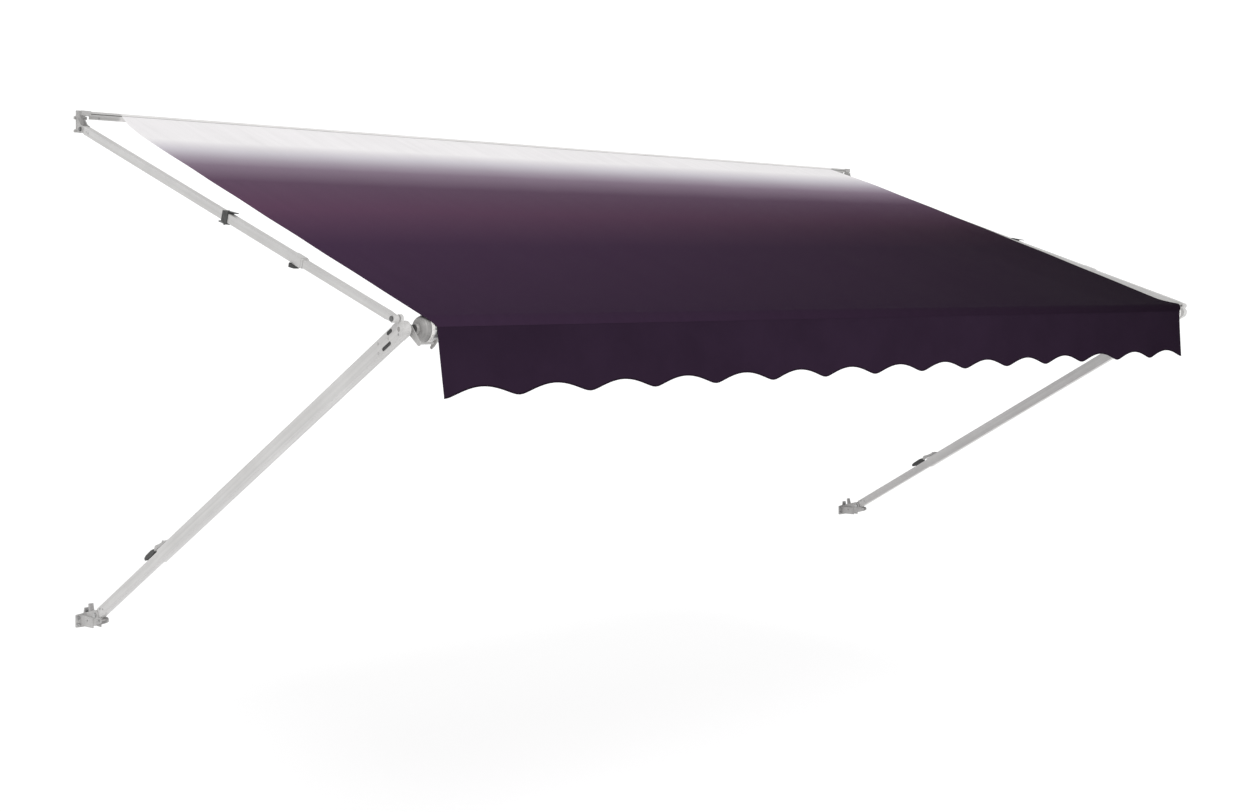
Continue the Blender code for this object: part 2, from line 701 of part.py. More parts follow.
def along_arm(name, rings, start, end, look, frame):
    # A section run along an arm, between two distances from its pivot
    made = place(name, slab(rings, end - start, FACING_Y), look, frame, (0, -(start + end) / 2, 0))
    return smooth(made, 30)


def eye(name, radius, neck_at, width, depth, bore, look, frame, turn=1):
    # A flat casting: round about its bore, widening to the tube that it closes
    outline = arc((0, 0), radius, 120, -120, 14)
    outline += [(GAP - neck_at, -depth / 2), (GAP - neck_at, depth / 2)]
    outline = [(turn * y, z) for y, z in outline]
    made = place(name, slab([outline, arc((0, 0), bore, 0, 345, 23)], width, FACING_X), look, frame)
    return made


for label, side in SIDES:
    foot = frames["foot", side]
    wall = frames["wall", side]

    casting = eye("foot_casting_" + label, FOOT_EYE, INNER_START, INNER_WIDTH, INNER_DEPTH,
                  PIN_RADIUS + PIN_CLEARANCE, cast, foot)
    inside = (INNER_WIDTH - 2 * INNER_WALL - 2 * GAP, 0.048, INNER_DEPTH - 2 * INNER_WALL - 2 * GAP)
    join(casting, brick(inside), (0, -(INNER_START - 0.002) - inside[1] / 2, 0))

    inner = along_arm("inner_arm_" + label, tube_rings(INNER_WIDTH, INNER_DEPTH, INNER_WALL),
                      INNER_START, INNER_START + INNER_LENGTH, painted, foot)
    for i in range(HEIGHT_HOLES):
        hole = cylinder(HEIGHT_HOLE, 0.006, Matrix(), 12)
        cut(inner, hole, (0, -(HEIGHT_HOLES_AT + i * HEIGHT_HOLE_PITCH), INNER_DEPTH / 2))

    outer_end = ARM_LENGTH - HEAD_SHOULDER
    outer = along_arm("outer_arm_" + label,
                      [channel_outline(ARM_WIDTH, ARM_DEPTH, ARM_WALL, ARM_BASE, ARM_MOUTH)],
                      OUTER_START, outer_end, painted, foot)
    high = ARM_DEPTH / 2 - ARM_BASE - WINDOW_UNDER_LIP - WINDOW_HEIGHT / 2
    low = WINDOW_HEIGHT / 2 + WINDOW_OVER_BASE + ARM_BASE - ARM_DEPTH / 2
    for at, height, length in ((0.018, high, 0.026), (0.0515, low, 0.046)):
        window = slab([rounded(rectangle(length, WINDOW_HEIGHT), 0.004)], 0.008, FACING_X)
        cut(outer, window, (side * ARM_WIDTH / 2, at - outer_end, height))

    shoulder = HEAD_SHOULDER - GAP
    outline = arc((0, 0), ARM_DEPTH / 2, 270, 90, 14)
    outline += [(shoulder, ARM_DEPTH / 2), (shoulder, -ARM_DEPTH / 2)]
    head = place("arm_head_" + label, slab([outline], ARM_WIDTH, FACING_X), cast, foot,
                 (0, -ARM_LENGTH, 0))
    spigot = (INNER_WIDTH, SPIGOT, INNER_DEPTH)
    join(head, brick(spigot), (0, -ARM_LENGTH + shoulder - 0.002 + SPIGOT / 2, 0))
    ear_centre = (-EAR_ALONG, EAR_HEIGHT)
    ear = slab([link_outline((0, 0.004), 0.014, ear_centre, EAR_RADIUS)], 0.010, FACING_X)
    join(head, ear, (side * (ARM_WIDTH / 2 - GAP - 0.005), -ARM_LENGTH, 0))
    boss = cylinder(SHAFT_RADIUS + 0.005, HEAD_BOSS + 0.004, FACING_X, 28)
    join(head, boss, (-side * (ARM_WIDTH / 2 + HEAD_BOSS / 2 - 0.002), -ARM_LENGTH, 0))
    cut(head, cylinder(SHAFT_RADIUS + GAP, 0.080, FACING_X, 20), (0, -ARM_LENGTH, 0))
    cut(head, cylinder(END_BOLT + 0.0008, 0.040),
        (side * ARM_WIDTH / 2, -ARM_LENGTH - EAR_ALONG, EAR_HEIGHT))

    # Foot bracket on the wall, its pin, and the latch between its cheeks
    plate = rounded([(-0.047, -0.058), (0.047, -0.058), (0.047, -0.010), (0.014, -0.006),
                     (0.0115, 0.014), (-0.0115, 0.014), (-0.014, -0.006), (-0.047, -0.010)], 0.003)
    bracket = place("foot_bracket_" + label, slab([plate], 0.006, FACING_Y), cast, wall,
                    (0, -0.003, 0))
    cheek = [(-0.002, -0.0515), (-0.002, -0.006)]
    cheek += arc((-FOOT_REACH, 0), FOOT_LUG, 80, 195, 8)
    nose = ((-0.041, -0.0060), (-0.0485, -0.0110), (-0.0480, -0.0210), (-0.0350, -0.0280))
    cheek += [(y - FOOT_REACH, z) for y, z in nose]
    cheek += [(0.043 - FOOT_REACH, -0.0495), (0.060 - FOOT_REACH, -0.0515)]
    cheek_x = INNER_WIDTH / 2 + EYE_SIDE + LUG_THICKNESS / 2
    for way in (-1, 1):
        join(bracket, slab([cheek], LUG_THICKNESS, FACING_X), (way * cheek_x, 0, 0))
    floor_end = FOOT_REACH - FOOT_FLOOR_BACK
    floor = (2 * cheek_x, floor_end - 0.004, 0.004)
    join(bracket, brick(floor), (0, -(floor_end + 0.004) / 2, -0.0485))
    flank_end = FOOT_EYE - FOOT_REACH
    flank = [(cheek_x, -0.002), (cheek_x + 0.016, -0.002), (cheek_x + 0.016, -0.012),
             (cheek_x + 0.0035, flank_end), (cheek_x, flank_end)]
    for way in (-1, 1):
        join(bracket, slab([mirrored(flank, way)], 0.0395, Matrix()), (0, 0, -0.0318))
    bar = cylinder(STOP_BAR, 2 * cheek_x + LUG_THICKNESS + 0.003, FACING_X, 14)
    join(bracket, bar, (0, -FOOT_REACH - 0.035, -0.0145))
    cut(bracket, cylinder(PIN_RADIUS + PIN_CLEARANCE, 0.060), (0, -FOOT_REACH, 0))
    cut(bracket, cylinder(LATCH_PIN + GAP, 0.060, FACING_X, 16), (0, -LATCH_OUT, -LATCH_DOWN))
    for x, z in ((-0.0385, -0.021), (0.0385, -0.021), (-0.0385, -0.047), (0.0385, -0.047), (0, 0.003)):
        cut(bracket, cylinder(SCREW_HOLE, 0.020, FACING_Y, 10), (x, 0, z))

    latch_outline = rounded([(0.008, -0.009), (0.018, 0.024), (0.023, 0.061), (0.015, 0.062),
                             (0.006, 0.032), (-0.031, 0.031), (-0.032, 0.022),
                             (-0.009, -0.009)], 0.0015, 2)
    latch_width = 2 * (cheek_x - LUG_THICKNESS / 2 - LATCH_SIDE)
    latch = place("foot_latch_" + label, slab([latch_outline], latch_width, FACING_X), steel, wall,
                  (0, -LATCH_OUT, -LATCH_DOWN))
    join(latch, cylinder(LATCH_PIN, 2 * cheek_x + LUG_THICKNESS, FACING_X, 16),
         (0, -LATCH_OUT, -LATCH_DOWN))


def bolt(name, grip, frame, location, towards, radius=PIN_RADIUS):
    # A pivot bolt and its nut: the head is outboard of the grip, the nut inboard
    half = grip / 2 + GAP
    head = radius + 0.0035
    profile = [(0, half + 0.005), (head - 0.001, half + 0.005), (head, half + 0.004), (head, half),
               (radius, half), (radius, -half), (head, -half), (head, -half - 0.004), (0, -half - 0.004)]
    return smooth(turned(name, profile, steel, frame, location, towards, 18))


# Wall ends of the rafters, and the telescoping rafters with their clamps and locks

def star(radius, lobes, depth, steps):
    points = []
    for i in range(lobes * steps):
        a = 2 * math.pi * i / (lobes * steps)
        r = radius * (1 - depth + depth * math.cos(lobes * a))
        points.append((r * math.cos(a), r * math.sin(a)))
    return points


for label, side in SIDES:
    top = frames["top", side]
    head_frame = frames["head", side]
    bolt("foot_pin_" + label, 2 * cheek_x + LUG_THICKNESS, frames["foot", side], (0, 0, 0), side)
    rafter_cheek = RAFTER_WIDTH / 2 + EYE_SIDE + LUG_THICKNESS / 2
    bolt("top_pin_" + label, 2 * rafter_cheek + LUG_THICKNESS, top, (0, 0, 0), side)

    neck = rafter_cheek + LUG_THICKNESS / 2 + TOP_MARGIN
    ear = neck + TOP_EAR
    plate_top = TOP_DROP + RAIL_HEIGHT / 2 + 0.0015
    half_plate = [(ear, -0.0105), (ear, 0.0005), (neck, 0.0025), (neck, 0.0385),
                  (ear, 0.0405), (ear, 0.0515), (neck, 0.0535), (neck, plate_top)]
    plate = rounded(half_plate + [(-x, z) for x, z in reversed(half_plate)], 0.0014, 2)
    bracket = place("top_bracket_" + label, slab([plate], 0.005, FACING_Y), cast, head_frame,
                    (0, -0.0025, 0))
    cheek = [(-0.002, -0.0100), (-0.002, 0.050)]
    cheek += arc((-TOP_REACH, 0), TOP_LUG, 75, 255, 12)
    for way in (-1, 1):
        join(bracket, slab([cheek], LUG_THICKNESS, FACING_X), (way * rafter_cheek, 0, 0))
    rail_end = RAFTER_X - RAIL_HALF - GAP
    stop_out = BEAD_OUT + BEAD_RADIUS + 0.003
    stop = (rail_end + 0.003, stop_out - 0.001, 2 * BEAD_RADIUS + 0.003)
    join(bracket, brick(stop),
         (side * (0.003 - rail_end) / 2, -(stop_out + 0.001) / 2, TOP_DROP + BEAD_UP - 0.0005))
    cut(bracket, cylinder(PIN_RADIUS + PIN_CLEARANCE, 0.060), (0, -TOP_REACH, 0))
    screw = neck + 0.0039
    for x, z in ((-screw, 0.046), (screw, 0.046), (-screw, -0.005), (screw, -0.005)):
        cut(bracket, cylinder(SCREW_HOLE, 0.020, FACING_Y, 10), (x, 0, z))

    wall_end = eye("rafter_wall_end_" + label, 0.0125, RAFTER_START, RAFTER_WIDTH, RAFTER_DEPTH,
                   PIN_RADIUS + PIN_CLEARANCE, cast, top)
    inside = (RAFTER_WIDTH - 2 * RAFTER_WALL - 2 * GAP, 0.042, RAFTER_DEPTH - 2 * RAFTER_WALL - 2 * GAP)
    join(wall_end, brick(inside), (0, -(RAFTER_START - 0.002) - inside[1] / 2, 0))

    outer = along_arm("outer_rafter_" + label, tube_rings(RAFTER_WIDTH, RAFTER_DEPTH, RAFTER_WALL),
                      RAFTER_START, RAFTER_OUTER, painted, top)
    cut(outer, cylinder(STUD_RADIUS + GAP, 0.010, Matrix(), 16),
        (side * KNOB_OFFSET, -KNOB_AT, -RAFTER_DEPTH / 2))
    inner_end = RAFTER_LENGTH - END_BACK
    along_arm("inner_rafter_" + label, tube_rings(SLIM_WIDTH, SLIM_DEPTH, RAFTER_WALL),
              RAFTER_OUTER - RAFTER_OVERLAP, inner_end, painted, top)

    end = eye("rafter_end_" + label, 0.012, END_BACK, SLIM_WIDTH, SLIM_DEPTH,
              END_BOLT + PIN_CLEARANCE, cast, top, -1)
    end.location = (0, -RAFTER_LENGTH, 0)
    inside = (SLIM_WIDTH - 2 * RAFTER_WALL - 2 * GAP, 0.042, SLIM_DEPTH - 2 * RAFTER_WALL - 2 * GAP)
    join(end, brick(inside), (0, -RAFTER_LENGTH + END_BACK - 0.002 + inside[1] / 2, 0))
    tip = RAFTER_WIDTH / 2 + PLANE_GAP - 0.0005
    half = SLIM_WIDTH / 2
    profile = [(0, half + 0.0045), (0.007, half + 0.0045), (0.008, half + 0.0035), (0.008, half + GAP),
               (END_BOLT, half + GAP), (END_BOLT, -tip), (0, -tip)]
    smooth(turned("rafter_end_bolt_" + label, profile, steel, top, (0, -RAFTER_LENGTH, 0), side, 24))

    # Clamp collar round the outer rafter, and the knob whose stud presses the inner rafter
    collar_in = -(RAFTER_WIDTH / 2 + PLANE_GAP - 0.0006)
    collar_out = RAFTER_WIDTH / 2 + GAP + COLLAR_WALL
    collar_half = RAFTER_DEPTH / 2 + GAP + COLLAR_WALL
    ring = rounded([(collar_in, -collar_half), (collar_out, -collar_half),
                    (collar_out, collar_half), (collar_in, collar_half)], 0.0015, 2)
    hole = rounded(rectangle(RAFTER_WIDTH + 2 * GAP, RAFTER_DEPTH + 2 * GAP), 0.0024)
    collar = along_arm("clamp_collar_" + label, [mirrored(ring, side), hole],
                       KNOB_AT - COLLAR_BACK, KNOB_AT + COLLAR_AHEAD, cast, top)
    cut(collar, cylinder(STUD_RADIUS + GAP, 0.010, Matrix(), 16),
        (side * KNOB_OFFSET, -KNOB_AT, -RAFTER_DEPTH / 2 - 0.002))
    knob_top = collar_half + 0.0005
    knob = place("rafter_knob_" + label, slab([star(KNOB_RADIUS, 6, 0.07, 5)], KNOB_HEIGHT, Matrix()),
                 black, top, (side * KNOB_OFFSET, -KNOB_AT, -knob_top - KNOB_HEIGHT / 2))
    soften(knob, 0.0018, 2)
    stud_length = knob_top - SLIM_DEPTH / 2 - GAP + 0.004
    join(knob, cylinder(STUD_RADIUS, stud_length, Matrix(), 16),
         (side * KNOB_OFFSET, -KNOB_AT, -SLIM_DEPTH / 2 - GAP - stud_length / 2))

    # Travel lock: a saddle round three sides of the outer rafter, and its lever underneath
    near_z = RAFTER_DEPTH / 2 + GAP
    far_z = near_z + TRAVEL_LOCK_WALL
    near_x = RAFTER_WIDTH / 2 + GAP
    far_x = near_x + TRAVEL_LOCK_WALL
    lip = -(RAFTER_WIDTH / 2 - 0.002)
    saddle = [(lip, near_z), (lip, far_z), (far_x, far_z), (far_x, -far_z), (lip, -far_z),
              (lip, -near_z), (near_x, -near_z), (near_x, near_z)][::-1]
    start = TRAVEL_LOCK_AT - TRAVEL_LOCK_LENGTH / 2
    saddle = along_arm("travel_lock_" + label, [mirrored(saddle, side)], start,
                       start + TRAVEL_LOCK_LENGTH, black, top)
    lock_y = -(TRAVEL_LOCK_AT - 0.004)
    lock_z = -(far_z + TRAVEL_LEVER_DROP)
    ears = [(-0.008, -far_z - lock_z + 0.001)] + arc((0, 0), 0.0045, 180, 360, 8)
    ears.append((0.008, -far_z - lock_z + 0.001))
    ear_x = TRAVEL_LEVER_WIDTH / 2 + GAP + 0.003 / 2
    for way in (-1, 1):
        join(saddle, slab([ears], 0.003, FACING_X), (way * ear_x, lock_y, lock_z))
    tab = [(-0.004, -0.0015), (-0.004, 0.0030), (-0.018, 0.0050), (-0.052, 0.0105), (-0.052, 0.0080),
           (-0.021, 0.0024), (-0.016, -0.0015)]
    join(saddle, slab([tab], 0.014, FACING_X), (0, -TRAVEL_LOCK_AT, far_z))
    cut(saddle, cylinder(TRAVEL_PIN + GAP, 0.030, FACING_X, 12), (0, lock_y, lock_z))
    lever = rounded([(-0.0034, -0.0034), (0.020, -0.0038), (0.042, -0.0062), (0.044, -0.0015),
                     (0.022, 0.0018), (-0.0034, 0.0034)], 0.0016, 2)
    lever = place("travel_lock_lever_" + label, slab([lever], TRAVEL_LEVER_WIDTH, FACING_X), black,
                  top, (0, lock_y, lock_z))
    join(lever, cylinder(TRAVEL_PIN, 2 * ear_x + 0.003, FACING_X, 12), (0, lock_y, lock_z))

    # Lift handle on the lower end of the outer arm: bracket, lever and grip
    foot = frames["foot", side]
    pivot = (-HANDLE_PIVOT_AT, ARM_DEPTH / 2 + HANDLE_RISE)
    base_z = ARM_DEPTH / 2 + GAP
    base_z += HANDLE_BASE / 2
    handle_cheek = HANDLE_WIDTH / 2 + 0.0005 + 0.003 / 2
    outside = 2 * handle_cheek + 0.003
    handle_bracket = place("handle_bracket_" + label, brick((outside + 0.004, 0.044, HANDLE_BASE)), cast,
                           foot, (0, pivot[0] - 0.004, base_z))
    cheek = [(-0.020, 0.001)] + arc((0.004, pivot[1] - base_z), 0.0062, 150, 0, 8) + [(0.015, 0.001)]
    for way in (-1, 1):
        join(handle_bracket, slab([cheek[::-1]], 0.003, FACING_X),
             (way * handle_cheek, pivot[0] - 0.004, base_z))
    cut(handle_bracket, cylinder(HANDLE_PIN + GAP, 0.040, FACING_X, 16), (0, *pivot))
    reach = HANDLE_REACH
    lever = arc((0, 0), 0.0050, 75, 280, 8)
    lever += [(0.020, -0.0046), (reach - 0.020, -0.0020), (reach, -0.0045), (reach, 0.0075),
              (reach - 0.006, 0.0080), (reach - 0.011, 0.0135), (reach - 0.020, 0.0130),
              (0.036, 0.0075), (0.018, 0.0055)]
    lever = place("lift_handle_" + label, slab([lever], HANDLE_WIDTH, FACING_X), cast, foot, (0, *pivot))
    join(lever, cylinder(HANDLE_PIN, outside + 0.002, FACING_X, 16), (0, *pivot))
    tongue = (0.009, 0.030, 0.0045)
    join(lever, brick(tongue), (0, pivot[0] + reach + 0.013, pivot[1]))
    grip_outline = rounded([(GAP, -0.0075), (0.014, -0.0098), (GRIP_LENGTH - 0.016, -0.0095),
                            (GRIP_LENGTH, -0.0055), (GRIP_LENGTH, 0.0045), (GRIP_LENGTH - 0.016, 0.0085),
                            (0.020, 0.0098), (GAP, 0.0068)], 0.0025, 2)
    grip = place("handle_grip_" + label, slab([grip_outline], 0.0200, FACING_X), black, foot,
                 (0, pivot[0] + reach, pivot[1]))
    soften(grip, 0.0020, 2)
    pocket = (tongue[0] + 2 * GAP, 0.030, tongue[2] + 2 * GAP)
    cut(grip, brick(pocket), (0, pivot[0] + reach + 0.0135, pivot[1]))
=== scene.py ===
# Looks of a canvas patio awning, opened out on its two folding arms

import json
import math

import bmesh
import bpy
import numpy as np
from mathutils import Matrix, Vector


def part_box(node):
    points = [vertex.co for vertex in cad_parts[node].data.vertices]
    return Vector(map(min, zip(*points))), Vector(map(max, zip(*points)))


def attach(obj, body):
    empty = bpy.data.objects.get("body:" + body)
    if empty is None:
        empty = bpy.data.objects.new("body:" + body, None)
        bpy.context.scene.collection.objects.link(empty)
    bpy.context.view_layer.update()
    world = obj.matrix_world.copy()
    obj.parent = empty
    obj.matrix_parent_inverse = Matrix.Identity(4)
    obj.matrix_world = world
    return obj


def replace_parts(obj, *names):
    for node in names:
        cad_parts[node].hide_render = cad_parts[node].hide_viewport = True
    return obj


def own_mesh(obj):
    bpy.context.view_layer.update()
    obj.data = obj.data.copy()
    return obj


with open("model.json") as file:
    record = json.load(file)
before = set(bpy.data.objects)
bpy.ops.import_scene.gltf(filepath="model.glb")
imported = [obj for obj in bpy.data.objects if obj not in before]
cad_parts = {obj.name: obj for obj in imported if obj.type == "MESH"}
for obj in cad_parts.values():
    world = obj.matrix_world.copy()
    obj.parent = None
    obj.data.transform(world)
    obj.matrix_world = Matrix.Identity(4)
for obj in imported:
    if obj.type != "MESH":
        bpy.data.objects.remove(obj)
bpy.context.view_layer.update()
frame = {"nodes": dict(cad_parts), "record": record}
nodes = frame["nodes"]
behaviour = frame["record"]["behaviour"]
joints = {joint["name"]: joint for joint in behaviour["joints"]}
armPivot = np.array(joints["arm_fold_right"]["pos_m"])
armAlong = np.array(joints["arm_slide_right"]["axis"])
rafterPivot = np.array(joints["rafter_fold_right"]["pos_m"])
rafterAlong = np.array(joints["rafter_slide_right"]["axis"])
rollerAxis = np.array(joints["roller_turn"]["pos_m"])
armLength = float(np.linalg.norm((rollerAxis - armPivot)[1:]))
print("frame loaded:", len(nodes), "nodes")


# Camera, floor and light

studio = {
    "cameraAt": (-5.0734, -6.0378, -0.6565),
    "turn": 43.107,             # degrees right of +Y
    "lens": 47.01,
    "sensor": 36.0,
    "shiftDown": -0.0956,
    "clipEnd": 200,
    "floorBelowFeet": 0.95,
    "floorReach": 26.0, "floorBack": 70.0, "halfWidth": 95.0,
    "backdropHeight": 14.0,
    "bendRadius": 5.0, "bendSteps": 24,
    "paper": (0.34, 0.34, 0.341), "paperShade": 0.985,
    "paperGlow": 0.745, "paperRoughness": 0.9,
    "sky": (1.0, 1.0, 1.0),
    "skyStrength": 0.60,
    "keyAngles": (48, 0, -28),  # the sun's turn, in degrees
    "keyStrength": 1.3,
    "keySoftness": 22,          # the sun's apparent size, in degrees
}

cameraData = bpy.data.cameras.new("camera")
cameraData.lens = studio["lens"]
cameraData.sensor_width = studio["sensor"]
cameraData.shift_y = studio["shiftDown"]
cameraData.clip_end = studio["clipEnd"]
camera = bpy.data.objects.new("camera", cameraData)
camera.location = studio["cameraAt"]
camera.rotation_euler = (math.pi / 2, 0, -math.radians(studio["turn"]))
bpy.context.scene.collection.objects.link(camera)
bpy.context.scene.camera = camera


# Shader maths: Python operators on sockets add the nodes

class Sock:
    def __init__(self, finish, out):
        self.finish = finish
        self.out = out

    def op(self, operation, *values):
        return self.finish.node("ShaderNodeMath", {"operation": operation}, *values)

    def __add__(self, other):
        return self.op("ADD", self, other)

    def __sub__(self, other):
        return self.op("SUBTRACT", self, other)

    def __rsub__(self, other):
        return self.op("SUBTRACT", other, self)

    def __mul__(self, other):
        return self.op("MULTIPLY", self, other)

    def __truediv__(self, other):
        return self.op("DIVIDE", self, other)

    def __pow__(self, other):
        return self.op("POWER", self, other)

    __radd__ = __add__
    __rmul__ = __mul__

    def sine(self):
        return self.op("SINE", self)

    def size(self):
        return self.op("ABSOLUTE", self)

    def most(self, other):
        return self.op("MAXIMUM", self, other)

    def between(self, low, high, smooth=True):
        # 0 below low, 1 above high
        how = "SMOOTHSTEP" if smooth else "LINEAR"
        return self.finish.node("ShaderNodeMapRange", {"interpolation_type": how}, self, low, high)


class Finish:
    # One material; fixed values go straight onto the shader's sockets
    def __init__(self, name, **fixed):
        self.material = bpy.data.materials.new(name)
        self.material.use_nodes = True
        self.tree = self.material.node_tree
        self.shader = self.tree.nodes["Principled BSDF"]
        for key, value in fixed.items():
            self.shader.inputs[key.replace("_", " ")].default_value = value

    def node(self, kind, settings, *values, output=0, **named):
        made = self.tree.nodes.new(kind)
        for key, value in settings.items():
            if key == "stops":
                self.setStops(made.color_ramp, value)
            else:
                setattr(made, key, value)
        for key, value in [*enumerate(values), *named.items()]:
            self.plug(made.inputs[key.replace("_", " ") if isinstance(key, str) else key], value)
        return Sock(self, made.outputs[output])

    def plug(self, socket, value):
        if isinstance(value, Sock):
            self.tree.links.new(value.out, socket)
        elif value is not None:
            socket.default_value = value

    def setStops(self, ramp, stops):
        while len(ramp.elements) < len(stops):
            ramp.elements.new(0.5)
        for element, (place, colour) in zip(ramp.elements, stops):
            element.position = place
            element.color = (*colour, 1)

    def feed(self, socket, value):
        self.plug(self.shader.inputs[socket], value)

    def objectPoint(self, turn=(0, 0, 0), scale=(1, 1, 1)):
        place = self.node("ShaderNodeTexCoord", {}, output="Object")
        return self.node("ShaderNodeMapping", {"vector_type": "TEXTURE"}, place,
                         Rotation=turn, Scale=scale)

    def clothPoint(self):
        return self.node("ShaderNodeUVMap", {"uv_map": "cloth"})

    def axis(self, point, letter):
        return self.node("ShaderNodeSeparateXYZ", {}, point, output=letter)

    def noise(self, point, scale, detail=3.0, roughness=0.5):
        return self.node("ShaderNodeTexNoise", {}, point, Scale=scale, Detail=detail,
                         Roughness=roughness)

    def mix(self, share, low, high):
        # Colours; low and high may be sockets or plain colours
        made = self.tree.nodes.new("ShaderNodeMix")
        made.data_type = "RGBA"
        for index, value in ((0, share), (6, low), (7, high)):
            if isinstance(value, tuple):
                value = (*value, 1)
            self.plug(made.inputs[index], value)
        return Sock(self, made.outputs[2])

    def bump(self, height, strength, distance):
        self.feed("Normal", self.node("ShaderNodeBump", {}, Height=height, Strength=strength,
                                      Distance=distance))


def grey(value, warm=0.0):
    return (value * (1 + warm), value, value * (1 - warm))


print("camera and shader tools ready")


# Finishes

grain = {                       # noise cells a metre
    "peel": 420.0, "dust": 3.2, "pits": 260.0, "slow": 22.0,
    "moulded": 900.0, "rub": 38.0, "spots": 120.0, "cloud": 90.0, "capMottle": 90.0,
}
coat = {
    "paint": grey(0.64, 0.012), "paintDark": grey(0.53, 0.015),
    "cast": grey(0.50, 0.015), "castDark": grey(0.38, 0.015),
    "black": grey(0.040), "blackWorn": grey(0.11),
    "steel": grey(0.52), "steelDark": grey(0.30),
    "dull": grey(0.20), "dullDark": grey(0.12),
    "worn": grey(0.40, 0.03), "wornDark": grey(0.24, 0.04),
    "grey": grey(0.19), "greyWorn": grey(0.32),
    "rail": grey(0.80, 0.012), "railDark": grey(0.70, 0.015), "railBare": grey(0.50, 0.015),
    "bareFrom": 2.135, "bareBlend": 0.02,   # the rail stands out of the cloth beyond this, and there it takes a painted shade colour
    "tube": grey(0.62), "tubeDark": grey(0.50),
    "nylon": (0.78, 0.77, 0.73),
}


def extruded(name, light, dark, turn, roughness=0.38, metallic=0.0, bare=None, across=90):
    # Painted aluminium section: draw lines along its length, faint orange peel and dusty patches;
    # the last argument is a painted shade colour for what stands out beyond the cloth
    made = Finish(name, Metallic=metallic, IOR=1.5)
    turn = [math.radians(angle) for angle in turn]
    lines = made.noise(made.objectPoint(turn, (1 / across, 1.2, 1 / across)), 1.0, 4.0, 0.6)
    peel = made.noise(made.objectPoint(), grain["peel"], 2.0)
    dust = made.noise(made.objectPoint(), grain["dust"], 5.0, 0.62)
    shade = (lines * 0.55 + dust * 0.45).between(0.36, 0.68)
    colour = made.mix(shade, dark, light)
    if bare:
        start, blend = coat["bareFrom"], coat["bareBlend"]
        # Painted shade: the rail's ends beyond the cloth turn darker
        shadedEnds = made.axis(made.objectPoint(), "X").size().between(start, start + blend)
        colour = made.mix(shadedEnds, colour, bare)
    made.feed("Base Color", colour)
    made.feed("Roughness", roughness + (dust - 0.5) * 0.22 + (lines - 0.5) * 0.10)
    made.bump(lines * 0.7 + peel * 0.3, 0.22, 0.0006)
    return made.material


def castMetal(name, light, dark):
    # Die-cast metal: fine pitting, slow mottling and a dull sheen
    made = Finish(name, Metallic=0.12, IOR=1.5)
    point = made.objectPoint()
    pits = made.noise(point, grain["pits"], 4.0, 0.65)
    slow = made.noise(point, grain["slow"], 4.0, 0.55)
    made.feed("Base Color", made.mix((pits * 0.4 + slow * 0.6).between(0.34, 0.64), dark, light))
    made.feed("Roughness", 0.42 + (slow - 0.5) * 0.3)
    made.bump(pits, 0.35, 0.0005)
    return made.material


def moulded(name, base, worn):
    # Textured plastic, rubbed a little paler in patches
    made = Finish(name, IOR=1.46)
    point = made.objectPoint()
    texture = made.noise(point, grain["moulded"], 2.0, 0.5)
    rub = made.noise(point, grain["rub"], 5.0, 0.6).between(0.52, 0.78)
    made.feed("Base Color", made.mix(rub * 0.6 + texture * 0.12, base, worn))
    made.feed("Roughness", 0.52 - rub * 0.14 + (texture - 0.5) * 0.1)
    made.bump(texture, 0.4, 0.0003)
    return made.material


capFinish = {
    # rim is a painted highlight colour for the cap's outer edge
    "light": grey(0.42, 0.02), "dark": grey(0.20, 0.02), "rim": grey(0.78, 0.02),
    "pitch": 0.0016,            # metres from one turning line to the next
    # each groove ring's radius, how far from it is painted shade and from where it is clear
    "rings": ((0.0330, 0.0008, 0.0022), (0.0385, 0.0006, 0.0018)),
    # radii across which the painted highlight of the rim comes in
    "edge": (0.0400, 0.0418),
}


def spunCap(name, c):
    # Fine turning round the roller's axis, painted shade in two soft dark groove rings and a
    # painted highlight on the rim
    made = Finish(name, Metallic=0.12, IOR=1.5)
    point = made.objectPoint()
    out = made.axis(point, "Y") - float(rollerAxis[1])
    up = made.axis(point, "Z") - float(rollerAxis[2])
    radius = (out * out + up * up) ** 0.5
    turning = (radius * (2 * math.pi / c["pitch"])).sine()
    inner, outer = [(radius - place).size().between(low, high) for place, low, high in c["rings"]]
    edge = radius.between(*c["edge"])
    mottle = made.noise(point, grain["capMottle"], 4.0, 0.6)
    # Painted shade darkens the two groove rings
    shade = (mottle * 0.5 + turning * 0.05 + 0.33) * (inner * 0.25 + 0.75) * (outer * 0.3 + 0.7)
    # Painted highlight: the rim turns brighter
    made.feed("Base Color", made.mix(edge, made.mix(shade, c["dark"], c["light"]), c["rim"]))
    made.feed("Roughness", 0.46 - edge * 0.12 + (mottle - 0.5) * 0.2)
    made.bump(turning * 0.2 + inner * 0.6 + outer * 0.8, 0.5, 0.0008)
    return made.material


def turnedSteel(name, light, dark):
    # Steel with fine turning lines and a few dull spots
    made = Finish(name, Metallic=0.9)
    lines = made.noise(made.objectPoint(scale=(1 / 900, 1 / 60, 1 / 60)), 1.0, 3.0, 0.6)
    spots = made.noise(made.objectPoint(), grain["spots"], 4.0, 0.6).between(0.45, 0.72)
    made.feed("Base Color", made.mix(lines * 0.5 + spots * 0.5, light, dark))
    made.feed("Roughness", 0.26 + spots * 0.22 + (lines - 0.5) * 0.12)
    made.bump(lines, 0.15, 0.0003)
    return made.material


